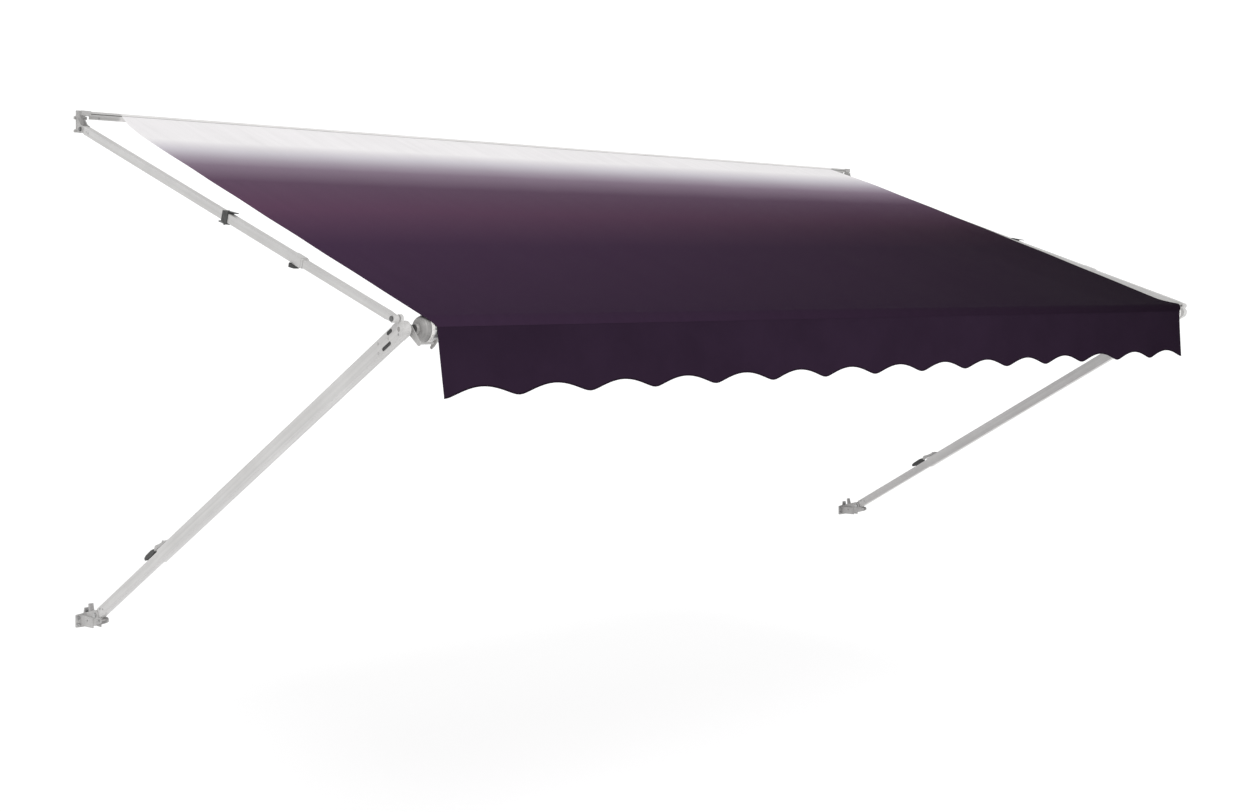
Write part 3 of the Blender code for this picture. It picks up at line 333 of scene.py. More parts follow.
def nylonMould(name, colour):
    # Natural nylon, slightly cloudy
    made = Finish(name, IOR=1.53)
    cloud = made.noise(made.objectPoint(), grain["cloud"], 4.0, 0.55)
    made.feed("Base Color", made.mix(cloud, tuple(0.86 * c for c in colour), colour))
    made.feed("Roughness", 0.36 + (cloud - 0.5) * 0.2)
    made.bump(cloud, 0.12, 0.0004)
    return made.material


def pitchOf(along):
    # The turn about X, in degrees, that lays Y along an arm or a rafter
    return -math.degrees(math.atan2(along[2], -along[1]))


armPaint = extruded("arm_paint", coat["paint"], coat["paintDark"], (pitchOf(armAlong), 0, 0))
rafterPaint = extruded("rafter_paint", coat["paint"], coat["paintDark"],
                       (pitchOf(rafterAlong), 0, 0))
railPaint = extruded("rail_paint", coat["rail"], coat["railDark"], (0, 0, 90), 0.45,
                     bare=coat["railBare"])
tubeMetal = extruded("roller_aluminium", coat["tube"], coat["tubeDark"], (0, 0, 90), 0.34, 0.75)
casting = castMetal("cast_aluminium", coat["cast"], coat["castDark"])
capMetal = spunCap("spun_cap", capFinish)
blackPlastic = moulded("black_plastic", coat["black"], coat["blackWorn"])
plated = turnedSteel("plated_steel", coat["steel"], coat["steelDark"])
dullSteel = turnedSteel("dull_steel", coat["dull"], coat["dullDark"])
wornSteel = castMetal("worn_steel", coat["worn"], coat["wornDark"])
greyPlastic = moulded("grey_plastic", coat["grey"], coat["greyWorn"])
nylon = nylonMould("nylon", coat["nylon"])

looks = {
    armPaint: ["inner_arm_", "outer_arm_", "arm_head_", "foot_casting_"],
    rafterPaint: ["outer_rafter_", "inner_rafter_", "clamp_collar_", "rafter_end_left",
                  "rafter_end_right", "rafter_wall_end_"],
    railPaint: ["awning_rail"],
    tubeMetal: ["roller_tube"],
    casting: ["handle_bracket_", "lift_handle_", "top_bracket_", "foot_bracket_", "foot_latch_",
              "lock_plate"],
    capMetal: ["end_cap_"],
    blackPlastic: ["handle_grip_", "rafter_knob_", "travel_lock_left", "travel_lock_right"],
    greyPlastic: ["travel_lock_lever_"],
    plated: ["torsion_spring_", "foot_pin_"],
    dullSteel: ["top_pin_", "rafter_end_bolt_"],
    wornSteel: ["roller_lock_lever", "roller_shaft_"],
    nylon: ["rail_cord", "canopy_hem_cord", "valance_hem_cord", "cap_bush_"],
}
for name, node in nodes.items():
    for material, starts in looks.items():
        if name.startswith(tuple(starts)):
            node.data.materials.clear()
            node.data.materials.append(material)
print("finishes on the frame's nodes")


# Cloth: woven vinyl whose colour fades along its length

cloth = {
    "threads": 0.0011,          # metres from thread to thread
    "bindingThreads": 0.0007,
    "fadeEnds": 2.219,          # metres down the canopy to the last stop
    "stops": [
        (0.12, (0.93, 0.91, 0.92)), (0.18, (0.63, 0.60, 0.65)), (0.225, (0.41, 0.36, 0.42)),
        (0.27, (0.25, 0.19, 0.25)), (0.36, (0.125, 0.075, 0.12)), (0.50, (0.112, 0.055, 0.099)),
        (0.68, (0.057, 0.029, 0.062)), (1.00, (0.040, 0.0215, 0.045)),
    ],
    "slant": 0.019, "ahead": 0.0155,    # the fade starts sooner to the right, for each metre
    "paler": (0.974, -0.012),   # brightness above the fade, and its change for each metre: painted shade, darker to the right
    "deeper": (0.64, -0.17),    # the same below the fade: a stronger painted shade, darker to the right
    "takes": (0.22, 0.60),      # shares of the length between which the one painted shade turns into the other
    "hem": 0.026, "hemStep": 0.0008,
    "stitch": 0.0042, "stitchIn": 0.004,
    "specular": 0.004,
    "valance": (0.0268, 0.0150, 0.0305),
    "binding": (0.018, 0.011, 0.020),
    "darkens": (0.3, 2.3, 0.42),        # painted shade on the valance and its binding, darker to the right: from and to a place along X, and its strength
}


def wovenHeight(made, point, spacing):
    # Over and under threads: two sine waves, each strong where the other is weak
    turns = 2 * math.pi / spacing
    u = (made.axis(point, "X") * turns).sine()
    v = (made.axis(point, "Y") * turns).sine()
    return (u * v).size() * 0.6 + u * 0.2 + v * 0.2


def stitchedHem(made):
    # Folded side hem: a step at its inner edge and a row of stitches beside it
    point = made.node("ShaderNodeUVMap", {"uv_map": "hem"})
    inward, down = made.axis(point, "X"), made.axis(point, "Y")
    hem, step = cloth["hem"], cloth["hemStep"]
    fold = inward.between(hem - step, hem + step)
    row = (inward - (hem - cloth["stitchIn"])).size().between(0.0004, 0.0011)
    dash = (down * (2 * math.pi / cloth["stitch"])).sine().between(-0.4, 0.2)
    return fold, row.most(dash)


def fadedCloth():
    made = Finish("canopy_cloth", IOR=1.46, Specular_IOR_Level=cloth["specular"])
    point = made.clothPoint()
    drawn = made.node("ShaderNodeMapping", {}, point, Scale=(26, 1.4, 1))
    streaks = made.noise(drawn, 1.0, 4.0, 0.6)
    cloudy = made.noise(point, 1.6, 5.0, 0.6)
    across = made.axis(point, "X")
    run = (made.axis(point, "Y") / cloth["fadeEnds"] + cloth["ahead"] + across * cloth["slant"]
           + (streaks - 0.5) * 0.016 + (cloudy - 0.5) * 0.02)
    # Painted shade: the cloth darkens towards the right, a little above the fade and strongly below
    # it
    pale, rightShade = [across * change + middle for middle, change in (cloth["paler"], cloth["deeper"])]
    paintedShade = pale + run.between(*cloth["takes"]) * (rightShade - pale)
    colour = made.node("ShaderNodeValToRGB", {"stops": cloth["stops"]}, run)
    weave = wovenHeight(made, point, cloth["threads"])
    fold, stitches = stitchedHem(made)
    dyed = 0.97 + (streaks - 0.5) * 0.16 + (cloudy - 0.5) * 0.12 + weave * 0.05
    shaded = dyed * (stitches * 0.12 + 0.88) * paintedShade
    made.feed("Base Color", made.node("ShaderNodeHueSaturation", {}, Color=colour, Value=shaded))
    made.feed("Roughness", 0.56 + (cloudy - 0.5) * 0.16 + weave * 0.08)
    fibres = made.noise(point, grain["pits"], 3.0)
    made.bump(weave + fibres * 0.6 - fold * 1.6 + stitches * 0.8, 0.35, 0.0005)
    return made.material


def plainCloth(name, colour, spacing):
    # One dye, a little uneven, with painted shade darkening it towards the right
    made = Finish(name, IOR=1.46, Specular_IOR_Level=cloth["specular"])
    point = made.clothPoint()
    slow = made.noise(point, 3.0, 5.0, 0.6)
    weave = wovenHeight(made, point, spacing)
    tone = made.mix(slow.between(0.3, 0.7) * 0.7 + weave * 0.3,
                    tuple(c * 0.86 for c in colour), tuple(c * 1.12 for c in colour))
    start, end, most = cloth["darkens"]
    # Painted shade: more black is mixed in towards the right
    rightShade = made.axis(made.objectPoint(), "X").between(start, end, False) * most
    made.feed("Base Color", made.mix(rightShade, tone, (0, 0, 0)))
    made.feed("Roughness", 0.6 + (slow - 0.5) * 0.2)
    made.bump(weave, 0.35, 0.0005)
    return made.material


canopyCloth = fadedCloth()
valanceCloth = plainCloth("valance_cloth", cloth["valance"], cloth["threads"])
bindingCloth = plainCloth("binding_tape", cloth["binding"], cloth["bindingThreads"])


# Meshes from grids of points

def gridNormals(points, facing):
    # Cross product of the slopes along both directions of the grid, on its facing side
    normal = np.cross(np.gradient(points, axis=1), np.gradient(points, axis=0))
    normal /= np.linalg.norm(normal, axis=2, keepdims=True)
    return normal if np.mean(normal @ np.array(facing, dtype=float)) > 0 else -normal


def quads(rows, columns, wrapRows=False, wrapColumns=False, start=0):
    # Faces between neighbouring rows and columns of points
    r, c = np.meshgrid(np.arange(rows if wrapRows else rows - 1),
                       np.arange(columns if wrapColumns else columns - 1), indexing="ij")
    nextRow, nextColumn = (r + 1) % rows, (c + 1) % columns
    faces = np.stack([r * columns + c, r * columns + nextColumn, nextRow * columns + nextColumn,
                      nextRow * columns + c], axis=-1)
    return faces.reshape(-1, 4) + start


def meshFrom(name, points, faces, uv=None, hem=None, caps=()):
    mesh = bpy.data.meshes.new(name)
    mesh.from_pydata(points.reshape(-1, 3).tolist(), [], [*faces.tolist(), *caps])
    for layerName, values in (("cloth", uv), ("hem", hem)):
        if values is not None:
            layer = mesh.uv_layers.new(name=layerName)
            corner = np.empty(len(mesh.loops), dtype=np.int32)
            mesh.loops.foreach_get("vertex_index", corner)
            layer.data.foreach_set("uv", values.reshape(-1, 2)[corner].astype(np.float32).ravel())
    mesh.validate()
    mesh.update()
    made = bpy.data.objects.new(name, mesh)
    bpy.context.scene.collection.objects.link(made)
    return made


def finishPiece(made, material, body, sharp=40):
    made.data.materials.append(material)
    made.data.shade_smooth()
    made.data.set_sharp_from_angle(angle=math.radians(sharp))
    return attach(made, body)


def thickSheet(name, points, normals, uv, thickness, hem=None):
    # Both skins of a grid, half the thickness to each side, and the strip round its edge
    rows, columns = points.shape[:2]
    top = points + normals * thickness / 2
    bottom = points - normals * thickness / 2
    count = rows * columns
    upper = quads(rows, columns)
    lower = quads(rows, columns, start=count)[:, ::-1]
    index = np.arange(count).reshape(rows, columns)
    edge = np.concatenate([index[0, :-1], index[:-1, -1], index[-1, :0:-1], index[:0:-1, 0]])
    following = np.roll(edge, -1)
    rim = np.stack([edge, edge + count, following + count, following], axis=-1)
    faces = np.concatenate([upper, lower, rim])
    hems = None if hem is None else np.stack([hem, hem])
    return meshFrom(name, np.stack([top, bottom]), faces, np.stack([uv, uv]), hems)


# Canopy: straight down the slope, then over the front of the roller

canopy = {
    "thickness": 0.0009,
    "beadOut": 0.011, "beadUp": 0.007,      # the rail's groove
    "rollerOut": float(-rollerAxis[1]), "rollerDown": float(-rollerAxis[2]),
    "clothRadius": 0.0445,
    "startRun": 0.0047,
    "topHalf": 2.1925, "rollerHalf": 2.2225, "valanceHalf": 2.183,
    "bow": 0.052, "bowLength": 0.36,
    "rightBow": 0.075, "rightFrom": 0.40, "rightFlare": 0.965,     # shares of the run
    "endAngle": 7.6,
    "slopeRows": 170, "wrapRows": 22, "columns": 150,
    "sag": 0.006,
    "ripple": 0.0011,
    "flutter": 0.0006, "flutterReach": 0.10,
}


def canopyShape(c):
    # Points, cloth and hem coordinates in metres, and the pitch of the slope
    axisOut = c["rollerOut"] - c["beadOut"]
    axisDown = c["rollerDown"] + c["beadUp"]
    reach = math.hypot(axisOut, axisDown)
    pitch = math.atan2(axisDown, axisOut) - math.asin(c["clothRadius"] / reach)
    run = math.sqrt(reach ** 2 - c["clothRadius"] ** 2)
    first = math.pi / 2 - pitch
    last = math.radians(c["endAngle"])
    share = np.linspace(0, 1, c["slopeRows"]) ** 0.9
    along = c["startRun"] + (run - c["startRun"]) * share
    wrapShare = np.linspace(0, 1, c["wrapRows"] + 1)[1:]
    angle = first + (last - first) * wrapShare
    arcRun = run + (first - last) * c["clothRadius"] * wrapShare
    out = np.concatenate([c["beadOut"] + along * math.cos(pitch),
                          c["rollerOut"] + c["clothRadius"] * np.cos(angle)])
    up = np.concatenate([c["beadUp"] - along * math.sin(pitch),
                         -c["rollerDown"] + c["clothRadius"] * np.sin(angle)])
    bow = c["bow"] * np.clip(1 - along / c["bowLength"], 0, 1) ** 2
    slopeHalf = c["topHalf"] + (c["rollerHalf"] - c["topHalf"]) * along / run - bow
    wrapHalf = c["rollerHalf"] - (c["rollerHalf"] - c["valanceHalf"]) * wrapShare ** 1.5
    half = np.concatenate([slopeHalf, wrapHalf])
    length = np.concatenate([along, arcRun])
    side = np.linspace(-1, 1, c["columns"])
    side = np.sin(side * math.pi / 2) * 0.35 + side * 0.65     # closer columns near the edges
    # The right side edge draws in towards the roller and flares out again where it is caught
    drawn, start, flare = length / run, c["rightFrom"], c["rightFlare"]
    draw = c["rightBow"] * np.clip((drawn - start) / (flare - start), 0, 1) ** 1.5
    draw *= 1 - np.clip((drawn - flare) / (1 - flare), 0, 1) ** 2
    wide = half[:, None] - draw[:, None] * (side[None, :] > 0)
    x = wide * side[None, :]
    # Sag is a parabola down the run; ripples run down the slope and die out at rail and roller
    tension = np.clip(length / run, 0, 1)
    sag = c["sag"] * 4 * tension * (1 - tension)
    quiet = np.clip(4 * tension * (1 - tension), 0, 1) ** 0.7
    ripple = np.sin(x * 9.0 + 0.8 * np.sin(x * 2.3)) * 0.6 + np.sin(x * 23.0 + 1.7) * 0.4
    edgePull = np.exp(-((wide - np.abs(x)) / c["flutterReach"]) ** 2)
    flutter = edgePull * np.sin(length[:, None] * 16.0) * c["flutter"]
    hang = sag[:, None] * (1 - 0.75 * side[None, :] ** 4)
    drop = (hang + ripple * c["ripple"] + flutter) * quiet[:, None]
    points = np.empty((len(length), c["columns"], 3))
    points[..., 0] = x
    points[..., 1] = -out[:, None] + drop * math.sin(pitch)
    points[..., 2] = up[:, None] - drop * math.cos(pitch)
    runs = np.broadcast_to(length[:, None], x.shape)
    uv = np.stack([x, runs], axis=-1)
    hem = np.stack([wide - np.abs(x), runs], axis=-1)
    return points, uv, hem, pitch


canopyPoints, canopyUv, canopyHem, canopyPitch = canopyShape(canopy)
canopyNormals = gridNormals(canopyPoints, (0, 0, 1))
split = canopy["slopeRows"]
slope = thickSheet("canopy_slope", canopyPoints[:split], canopyNormals[:split], canopyUv[:split],
                   canopy["thickness"], canopyHem[:split])
wrap = thickSheet("canopy_wrap", canopyPoints[split - 1:], canopyNormals[split - 1:],
                  canopyUv[split - 1:], canopy["thickness"], canopyHem[split - 1:])
finishPiece(slope, canopyCloth, "wall_side")
finishPiece(wrap, canopyCloth, "arm_upper_left")
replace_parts(slope, "canopy")
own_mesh(slope)
print("canopy made, slope", round(math.degrees(canopyPitch), 2), "degrees")


# Valance: hangs from the roller's front, cut in scallops and bound along the cut

valance = {
    "thickness": 0.0009,
    "radius": 0.0437, "startAngle": 9.0, "leaves": -4.0,
    "half": 2.183, "taper": 0.012, "length": 0.202, "lean": 0.018,
    "scallops": 15, "rise": 0.031, "bluntTips": 0.22,
    "perScallop": 24, "rows": 26,
    "foldDepth": 0.0042,
    "bindingWide": 0.0045, "bindingThick": 0.0012,
}


def valanceShape(v):
    # Points and cloth coordinates in metres
    columns = v["scallops"] * v["perScallop"] + 1
    side = np.linspace(-1, 1, columns)
    start, bend = math.radians(v["startAngle"]), math.radians(v["leaves"])
    angle = np.linspace(start, bend, 5)
    topOut = canopy["rollerOut"] + v["radius"] * np.cos(angle)
    topUp = -canopy["rollerDown"] + v["radius"] * np.sin(angle)
    drop = v["length"] + topUp[-1] + canopy["rollerDown"]
    # Arches with rounded tips: the size of a sine, blunted near zero
    blunt = v["bluntTips"]
    wave = np.sqrt(np.sin(math.pi * np.arange(columns) / v["perScallop"]) ** 2 + blunt ** 2) - blunt
    wave /= math.sqrt(1 + blunt ** 2) - blunt
    longest = drop - v["rise"] * wave
    share = np.linspace(0, 1, v["rows"] + 1)[1:]
    length = share[:, None] * longest[None, :]
    reach = length / drop
    half = v["half"] - v["taper"] * reach
    x = half * side[None, :]
    # Soft folds: one slow wave a scallop, deepening towards the free edge
    phase = side * v["scallops"] * math.pi
    fold = np.cos(phase + 0.6 * np.sin(side * 5)) * 0.6 + np.sin(phase * 0.37 + 1.1) * 0.4
    out = topOut[-1] + v["lean"] * reach ** 1.2 + v["foldDepth"] * fold[None, :] * reach ** 1.6
    up = topUp[-1] - length
    topX = np.broadcast_to(v["half"] * side, (5, columns))
    points = np.empty((5 + v["rows"], columns, 3))
    points[..., 0] = np.concatenate([topX, x])
    points[..., 1] = -np.concatenate([np.broadcast_to(topOut[:, None], topX.shape), out])
    points[..., 2] = np.concatenate([np.broadcast_to(topUp[:, None], topX.shape), up])
    runs = np.concatenate([np.broadcast_to((start - angle)[:, None] * v["radius"], topX.shape),
                           (start - bend) * v["radius"] + length])
    uv = np.stack([points[..., 0], runs], axis=-1)
    return points, uv


valancePoints, valanceUv = valanceShape(valance)
valanceNormals = gridNormals(valancePoints, (0, -1, 0))
skirt = thickSheet("valance_skirt", valancePoints, valanceNormals, valanceUv,
                   valance["thickness"])
finishPiece(skirt, valanceCloth, "arm_upper_left")
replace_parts(skirt, "valance")


def alongPath(name, path, sideways, outwards, outline):
    # A closed outline of (sideways, outwards) carried along a path with its own directions
    steps, count = len(path), len(outline)
    outline = np.asarray(outline)
    points = (path[:, None, :] + outline[None, :, 0, None] * sideways[:, None, :]
              + outline[None, :, 1, None] * outwards[:, None, :])
    stride = np.concatenate([[0], np.cumsum(np.linalg.norm(np.diff(path, axis=0), axis=1))])
    around = np.concatenate([[0], np.cumsum(np.linalg.norm(np.diff(outline, axis=0), axis=1))])
    uv = np.stack(np.broadcast_arrays(stride[:, None], around[None, :]), axis=-1)
    caps = [list(range(count))[::-1], [(steps - 1) * count + i for i in range(count)]]
    return meshFrom(name, points, quads(steps, count, wrapColumns=True), uv, caps=caps)


edgePath = valancePoints[-1]
edgeTangent = np.gradient(edgePath, axis=0)
edgeTangent /= np.linalg.norm(edgeTangent, axis=1, keepdims=True)
edgeOut = valanceNormals[-1]
edgeDown = np.cross(edgeOut, edgeTangent)
wide, thick = valance["bindingWide"], valance["bindingThick"]
tape = [(-wide, thick), (0.0002, thick * 0.9), (0.0009, 0), (0.0002, -thick * 0.9), (-wide, -thick)]
binding = alongPath("valance_binding", edgePath, edgeDown, edgeOut, tape)
finishPiece(binding, bindingCloth, "arm_upper_left")
for piece in (skirt, binding):
    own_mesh(piece)
print("valance made")


# Castings and plastic parts with their edges rounded: merged copies of the frame's nodes

bodyOf = {node: body for body, members in behaviour["bodies"].items() for node in members}
soft = {"weld": 0.00002, "flatWithin": 0.6, "sharpFrom": 35, "segments": 2}     # metres, degrees


def softened(node, width):
    mesh = nodes[node].data.copy()
    welded = bmesh.new()
    welded.from_mesh(mesh)
    bmesh.ops.remove_doubles(welded, verts=welded.verts, dist=soft["weld"])
    bmesh.ops.dissolve_limit(welded, angle_limit=math.radians(soft["flatWithin"]),
                             verts=welded.verts, edges=welded.edges)
    welded.to_mesh(mesh)
    welded.free()
    made = bpy.data.objects.new("soft_" + node, mesh)
    bpy.context.scene.collection.objects.link(made)
    edges = made.modifiers.new("edges", "BEVEL")
    edges.width = width
    edges.segments = soft["segments"]
    edges.limit_method = "ANGLE"
    edges.angle_limit = math.radians(soft["sharpFrom"])
    edges.use_clamp_overlap = True
    mesh.shade_smooth()
    mesh.set_sharp_from_angle(angle=math.radians(soft["sharpFrom"]))
    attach(made, bodyOf[node])
    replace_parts(made, node)


rounding = {
    "arm_head_": 0.0016, "foot_casting_": 0.0012, "rafter_wall_end_": 0.0012,
    "rafter_end_left": 0.0010, "rafter_end_right": 0.0010, "top_bracket_": 0.0010,
    "foot_bracket_": 0.0012,
    "handle_bracket_": 0.0006, "lift_handle_": 0.0012, "clamp_collar_": 0.0007,
    "travel_lock_left": 0.0008, "travel_lock_right": 0.0008, "lock_plate": 0.0006,
    "foot_latch_": 0.0006,
}
for name in sorted(nodes):
    for start, width in rounding.items():
        if name.startswith(start):
            softened(name, width)
print("edges rounded")


# End caps turned finely, the left one with the lock's saw teeth; a black ring on each hub as
# painted shade for the bore

endCap = {
    "start": 2.190, "length": 0.045,
    "rim": 0.0432, "hub": 0.0144, "bore": 0.0107, "hubBack": 0.016,
    "teeth": 16, "toothDepth": 0.0025, "toothFrom": 0.003, "toothTo": 0.008,
    "columns": 128, "sealColumns": 48, "sharpFrom": 32,
    # the black ring standing in for the bore's shade, as (radius, height) points: painted shade
    "seal": ((0.0079, 0.0455), (0.0118, 0.0455), (0.0128, 0.0465), (0.0128, 0.0515),
             (0.0118, 0.0525), (0.0079, 0.0525)),
}


def domeProfile(c):
    # (radius, height): crown, dome, skirt, then the inner skin and the hub's tail; the rows that
    # come twice keep the tooth band's steps square
    a = np.linspace(0, math.pi / 2, 17)[1:]
    hub, rim, top = c["hub"], c["rim"], c["length"] - 0.008
    wide = rim - c["toothDepth"] - hub - 0.004
    dome = np.stack([hub + 0.003 + wide * np.sin(a), 0.011 + (top - 0.011) * np.cos(a)], -1)
    back = np.linspace(math.pi / 2 * 0.75, 0, 9)
    inside = np.stack([hub + (rim - 0.008 - hub) * np.sin(back),
                       0.008 + (top - 0.014) * np.cos(back)], -1)
    skirt = [(rim - 0.0006, 0.0105), (rim, 0.0099), (rim, c["toothTo"]), (rim, c["toothTo"]),
             (rim, c["toothFrom"]), (rim, c["toothFrom"]), (rim, 0.0009), (rim - 0.0006, 0.0003),
             (rim - 0.004, 0.0003), (rim - 0.004, 0.010)]
    crown = [(c["bore"], c["length"]), (hub + 0.0005, c["length"]),
             (hub + 0.001, c["length"] - 0.0005), (hub + 0.003, top)]
    tail = [(hub, -c["hubBack"]), (c["bore"], -c["hubBack"])]
    return np.array([*crown, *dome, *skirt, *inside, *tail])


def turnedPiece(name, profile, side, start, columns, teeth=None):
    # A closed profile run round the roller's axis; teeth take a saw wave off the radius in one band
    angle = np.linspace(0, 2 * math.pi, columns, endpoint=False)
    radius = np.repeat(profile[:, 0:1], columns, axis=1)
    if teeth:
        saw = (angle / (2 * math.pi) * teeth["teeth"]) % 1
        bite = teeth["toothDepth"] * np.clip(1 - saw, 0, 1) * (saw > 0)
        height = profile[:, 1]
        band = (height >= teeth["toothFrom"]) & (height <= teeth["toothTo"])
        rows = np.where((profile[:, 0] == teeth["rim"]) & band)[0][1:-1]
        radius[rows] -= bite
    points = np.empty((len(profile), columns, 3))
    points[..., 0] = side * (start + profile[:, 1:2])
    points[..., 1] = rollerAxis[1] + radius * np.cos(angle)
    points[..., 2] = rollerAxis[2] + radius * np.sin(angle)
    faces = quads(len(profile), columns, wrapRows=True, wrapColumns=True)
    made = meshFrom(name, points, faces[:, ::-1] if side > 0 else faces)
    shape = bmesh.new()
    shape.from_mesh(made.data)
    bmesh.ops.recalc_face_normals(shape, faces=shape.faces)
    shape.to_mesh(made.data)
    shape.free()
    return made


for label, side in (("left", -1), ("right", 1)):
    node = "end_cap_" + label
    cap = turnedPiece("spun_cap_" + label, domeProfile(endCap), side, endCap["start"],
                      endCap["columns"], endCap if side < 0 else None)
    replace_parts(finishPiece(cap, capMetal, bodyOf[node], endCap["sharpFrom"]), node)
    # A black ring on the hub stands in for the shade in the bore: painted shade
    seal = turnedPiece("hub_seal_" + label, np.array(endCap["seal"]), side, endCap["start"],
                       endCap["sealColumns"])
    finishPiece(seal, blackPlastic, bodyOf[node], endCap["sharpFrom"])
print("end caps turned")


# Screws, rivets, and black plugs that fill the arm slots as painted shade

fixings = {
    "headSteps": 36, "sharpFrom": 32,
    "armSide": 0.014, "innerSide": 0.0116, "rafterSide": 0.012,     # half the bars' widths
    "slots": ((0.0445, 0.0148, 0.026), (0.078, -0.0150, 0.046)),   # short of the roller, up, length
    "slotFloor": 0.0122,
    "slotRadius": 0.0042, "slotClear": 0.0003,
    "armRivets": ((0.060, 0.0), (0.112, 0.012), (0.125, -0.014)),   # short of the roller, up
    "headRivet": (0.008, -0.014),
    "footRivets": ((0.040, 0.010), (0.062, 0.000)),                 # past the pivot, up
    "rafterRivets": ((0.044, 0), (0.060, 0)),
    "stopBolt": (0.0175, -0.035, -0.0145),      # from the foot's pivot
    "topPlate": -0.0050, "topAcross": 0.0214, "topUp": (0.046, -0.005),
    "footPlate": -0.0060,
    "footPlaces": ((-0.0385, -0.021), (0.0385, -0.021), (-0.0385, -0.047), (0.0385, -0.047),
                   (0, 0.003)),
    "railPlate": -0.0030, "railUp": -0.0095, "railHalf": 2.23, "railCount": 20,
}


def onBar(pivot, along, side, across, run, up):
    # A place on an arm or a rafter: out from its side, along it and above its middle
    point = pivot + along * run + np.array([0, along[2], -along[1]]) * up
    point[0] = side * (pivot[0] + across)
    return point


def heads(name, places, rings, material, body):
    # Rings of (radius, height, share of hexagon) about an axis, drawn out lengthways where a place
    # gives a stretch
    steps = fixings["headSteps"]
    angle = (np.arange(steps) + 0.5) * 2 * math.pi / steps
    flat = math.cos(math.pi / 6) / np.cos((angle + math.pi / 6) % (math.pi / 3) - math.pi / 6)
    rings = np.array(rings)
    shape = 1 + (flat[None, :] - 1) * rings[:, 2:3]
    radius = rings[:, 0:1] * shape
    centres = np.array([place[0] for place in places])
    axes = np.array([place[1] for place in places], dtype=float)
    stretch = np.array([place[2] if len(place) > 2 else (0, 0, 0) for place in places], dtype=float)
    reach = np.linalg.norm(stretch, axis=1, keepdims=True)
    axes /= np.linalg.norm(axes, axis=1, keepdims=True)
    helper = np.where(np.abs(axes[:, 2:3]) < 0.9, np.array([[0, 0, 1.0]]), np.array([[0, 1.0, 0]]))
    first = np.cross(helper, axes)
    first /= np.linalg.norm(first, axis=1, keepdims=True)
    first = np.where(reach > 0, stretch / np.maximum(reach, 1e-9), first)
    second = np.cross(axes, first)
    points = (centres[:, None, None, :]
              + (radius * np.cos(angle))[None, :, :, None] * first[:, None, None, :]
              + (radius * np.sin(angle))[None, :, :, None] * second[:, None, None, :]
              + rings[None, :, 1, None, None] * axes[:, None, None, :]
              + np.sign(np.cos(angle))[None, None, :, None] * stretch[:, None, None, :])
    count = len(rings) * steps
    one = quads(len(rings), steps, wrapColumns=True)
    faces = (one[None] + (np.arange(len(places)) * count)[:, None, None]).reshape(-1, 4)
    caps = []
    for index in range(len(places)):
        caps.append([index * count + k for k in range(steps)][::-1])
        caps.append([index * count + (len(rings) - 1) * steps + k for k in range(steps)])
    made = meshFrom(name, points, faces, caps=caps)
    finishPiece(made, material, body, fixings["sharpFrom"])


# (radius, height, share of hexagon) from the seat to the crown
hexHead = [(0.0078, -0.0004, 0), (0.0078, 0.0010, 0), (0.0060, 0.0014, 0.2), (0.0056, 0.0015, 1),
           (0.0056, 0.0044, 1), (0.0050, 0.0052, 0.8), (0.0030, 0.0054, 0), (0.0012, 0.0049, 0)]
panHead = [(0.0036, -0.0003, 0), (0.0038, 0.0004, 0), (0.0035, 0.0013, 0), (0.0026, 0.0019, 0),
           (0.0016, 0.0021, 0), (0.0013, 0.0013, 1), (0.0006, 0.0012, 1)]
rivetHead = [(0.0038, -0.0003, 0), (0.0038, 0.0003, 0), (0.0033, 0.0012, 0), (0.0022, 0.0018, 0),
             (0.0012, 0.0019, 0), (0.0010, 0.0014, 0), (0.0004, 0.0013, 0)]
# Black plugs in the arm's slots stand in for the shade inside the open slots: painted shade
slotShadePlug = [(0.0042, 0, 0), (0.0042, 0.0019, 0), (0.0056, 0.0019, 0), (0.0056, 0.0024, 0),
            (0.0051, 0.0028, 0), (0.0036, 0.0028, 0), (0.0030, 0.0020, 0), (0.0008, 0.0020, 0)]

f = fixings
outwards = (0, -1, 0)
topScrews = [((side * rafterPivot[0] + x, f["topPlate"], z + rafterPivot[2]), outwards)
             for side in (-1, 1) for x in (-f["topAcross"], f["topAcross"]) for z in f["topUp"]]
footScrews = [((side * armPivot[0] + x, f["footPlate"], z + armPivot[2]), outwards)
              for side in (-1, 1) for x, z in f["footPlaces"]]
railScrews = [((x, f["railPlate"], f["railUp"]), outwards)
              for x in np.linspace(-f["railHalf"], f["railHalf"], f["railCount"])]
heads("top_screws", topScrews, rivetHead, wornSteel, "wall_side")
heads("foot_screws", footScrews, hexHead, plated, "wall_side")
heads("rail_screws", railScrews, panHead, plated, "wall_side")


def onArm(side, across, run, up):
    return onBar(armPivot, armAlong, side, across, run, up)


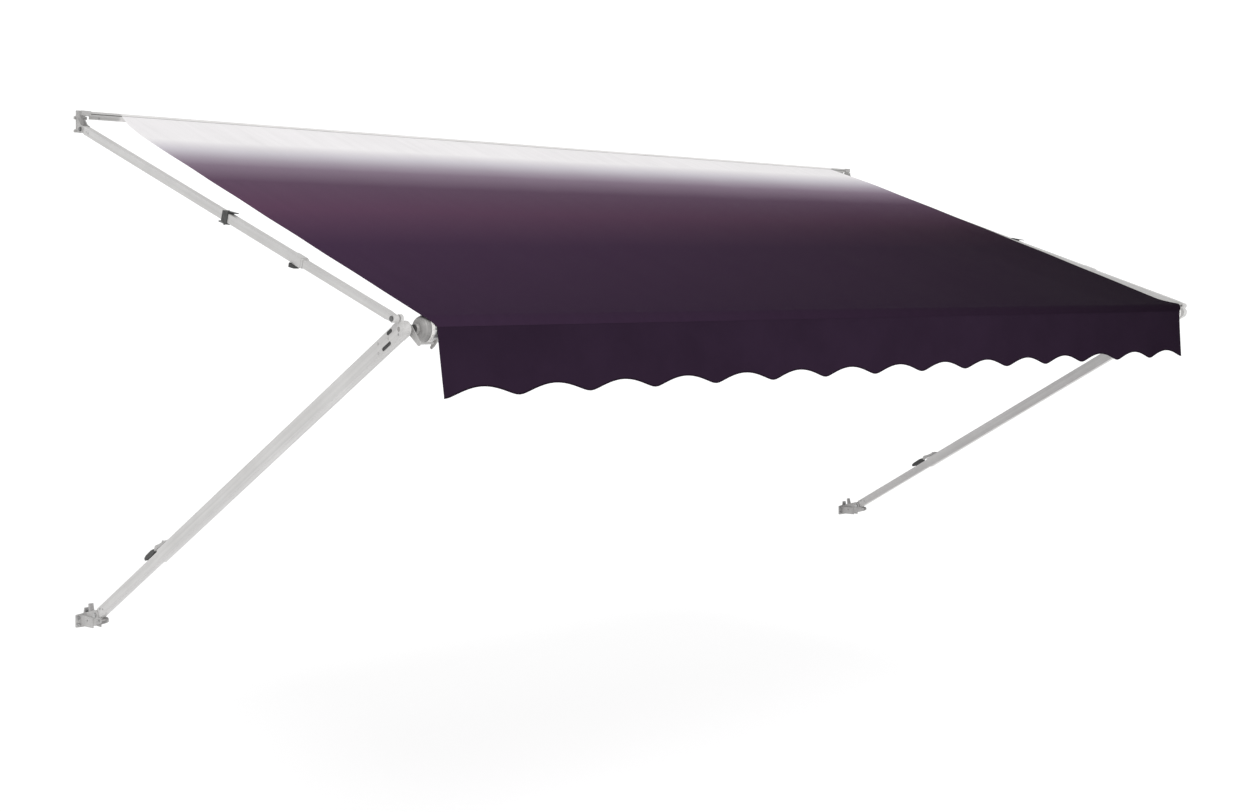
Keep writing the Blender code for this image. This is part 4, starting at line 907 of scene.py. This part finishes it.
for label, side in (("left", -1), ("right", 1)):
    upper, lower = "arm_upper_" + label, "arm_lower_" + label
    heads("arm_rivets_" + label,
          [(onArm(side, f["armSide"] * way, armLength - back, up), (side * way, 0, 0))
           for back, up in f["armRivets"] for way in (-1, 1)],
          rivetHead, casting, upper)
    back, up = f["headRivet"]
    heads("head_rivet_" + label,
          [(onArm(side, f["armSide"], armLength - back, up), (side, 0, 0))],
          rivetHead, plated, upper)
    # Painted shade: black plugs fill the slots
    heads("slot_plugs_" + label,
          [(onArm(side, f["slotFloor"], armLength - back, up), (side, 0, 0),
            armAlong * (length / 2 - f["slotRadius"] - f["slotClear"]))
           for back, up, length in f["slots"]],
          slotShadePlug, blackPlastic, upper)
    heads("foot_rivets_" + label,
          [(onArm(side, f["innerSide"] * way, run, up), (side * way, 0, 0))
           for run, up in f["footRivets"] for way in (-1, 1)],
          rivetHead, plated, lower)
    across, out, up = f["stopBolt"]
    bar = armPivot * (side, 1, 1) + np.array([side * across, out, up])
    heads("stop_bolt_" + label, [(bar, (side, 0, 0))], rivetHead, dullSteel, "wall_side")
    heads("rafter_rivets_" + label,
          [(onBar(rafterPivot, rafterAlong, side, f["rafterSide"] * way, run, up),
            (side * way, 0, 0)) for run, up in f["rafterRivets"] for way in (-1, 1)],
          rivetHead, plated, "rafter_outer_" + label)
print("fixings made")


# Studio

def backdropShape(s):
    # A profile that runs flat on the floor, bends up in an arc and ends upright, swept sideways
    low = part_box("foot_bracket_left")[0].z - s["floorBelowFeet"]
    radius, reach = s["bendRadius"], s["floorReach"]
    angle = np.linspace(0, math.pi / 2, s["bendSteps"])
    flat = np.array([[-s["floorBack"], low], [reach - radius, low]])
    bend = np.stack([reach - radius + radius * np.sin(angle),
                     low + radius - radius * np.cos(angle)], -1)
    top = np.array([[reach, low + s["backdropHeight"]]])
    return np.concatenate([flat, bend[1:], top])


profile = backdropShape(studio)
turn = math.radians(studio["turn"])
forward = np.array([math.sin(turn), math.cos(turn), 0])
sideways = np.array([math.cos(turn), -math.sin(turn), 0])
spread = np.array([-studio["halfWidth"], studio["halfWidth"]])
points = (profile[:, None, 0, None] * forward + spread[None, :, None] * sideways
          + profile[:, None, 1, None] * np.array([0, 0, 1.0]))
backdrop = meshFrom("backdrop", points, quads(len(profile), 2))
paper = Finish("backdrop_paper", Roughness=studio["paperRoughness"],
               Emission_Color=(1, 1, 1, 1), Emission_Strength=studio["paperGlow"])
mottle = paper.noise(paper.objectPoint(), 0.5, 3.0)
shade = tuple(c * studio["paperShade"] for c in studio["paper"])
paper.feed("Base Color", paper.mix(mottle, shade, studio["paper"]))
backdrop.data.materials.append(paper.material)
backdrop.data.shade_smooth()

world = bpy.data.worlds.new("studio")
world.use_nodes = True
background = world.node_tree.nodes["Background"]
background.inputs["Color"].default_value = (*studio["sky"], 1)
background.inputs["Strength"].default_value = studio["skyStrength"]
bpy.context.scene.world = world
key = bpy.data.lights.new("key", "SUN")
key.energy = studio["keyStrength"]
key.angle = math.radians(studio["keySoftness"])
keyLight = bpy.data.objects.new("key", key)
keyLight.rotation_euler = [math.radians(a) for a in studio["keyAngles"]]
bpy.context.scene.collection.objects.link(keyLight)
bpy.context.scene.view_settings.view_transform = "Standard"
print("studio lit")
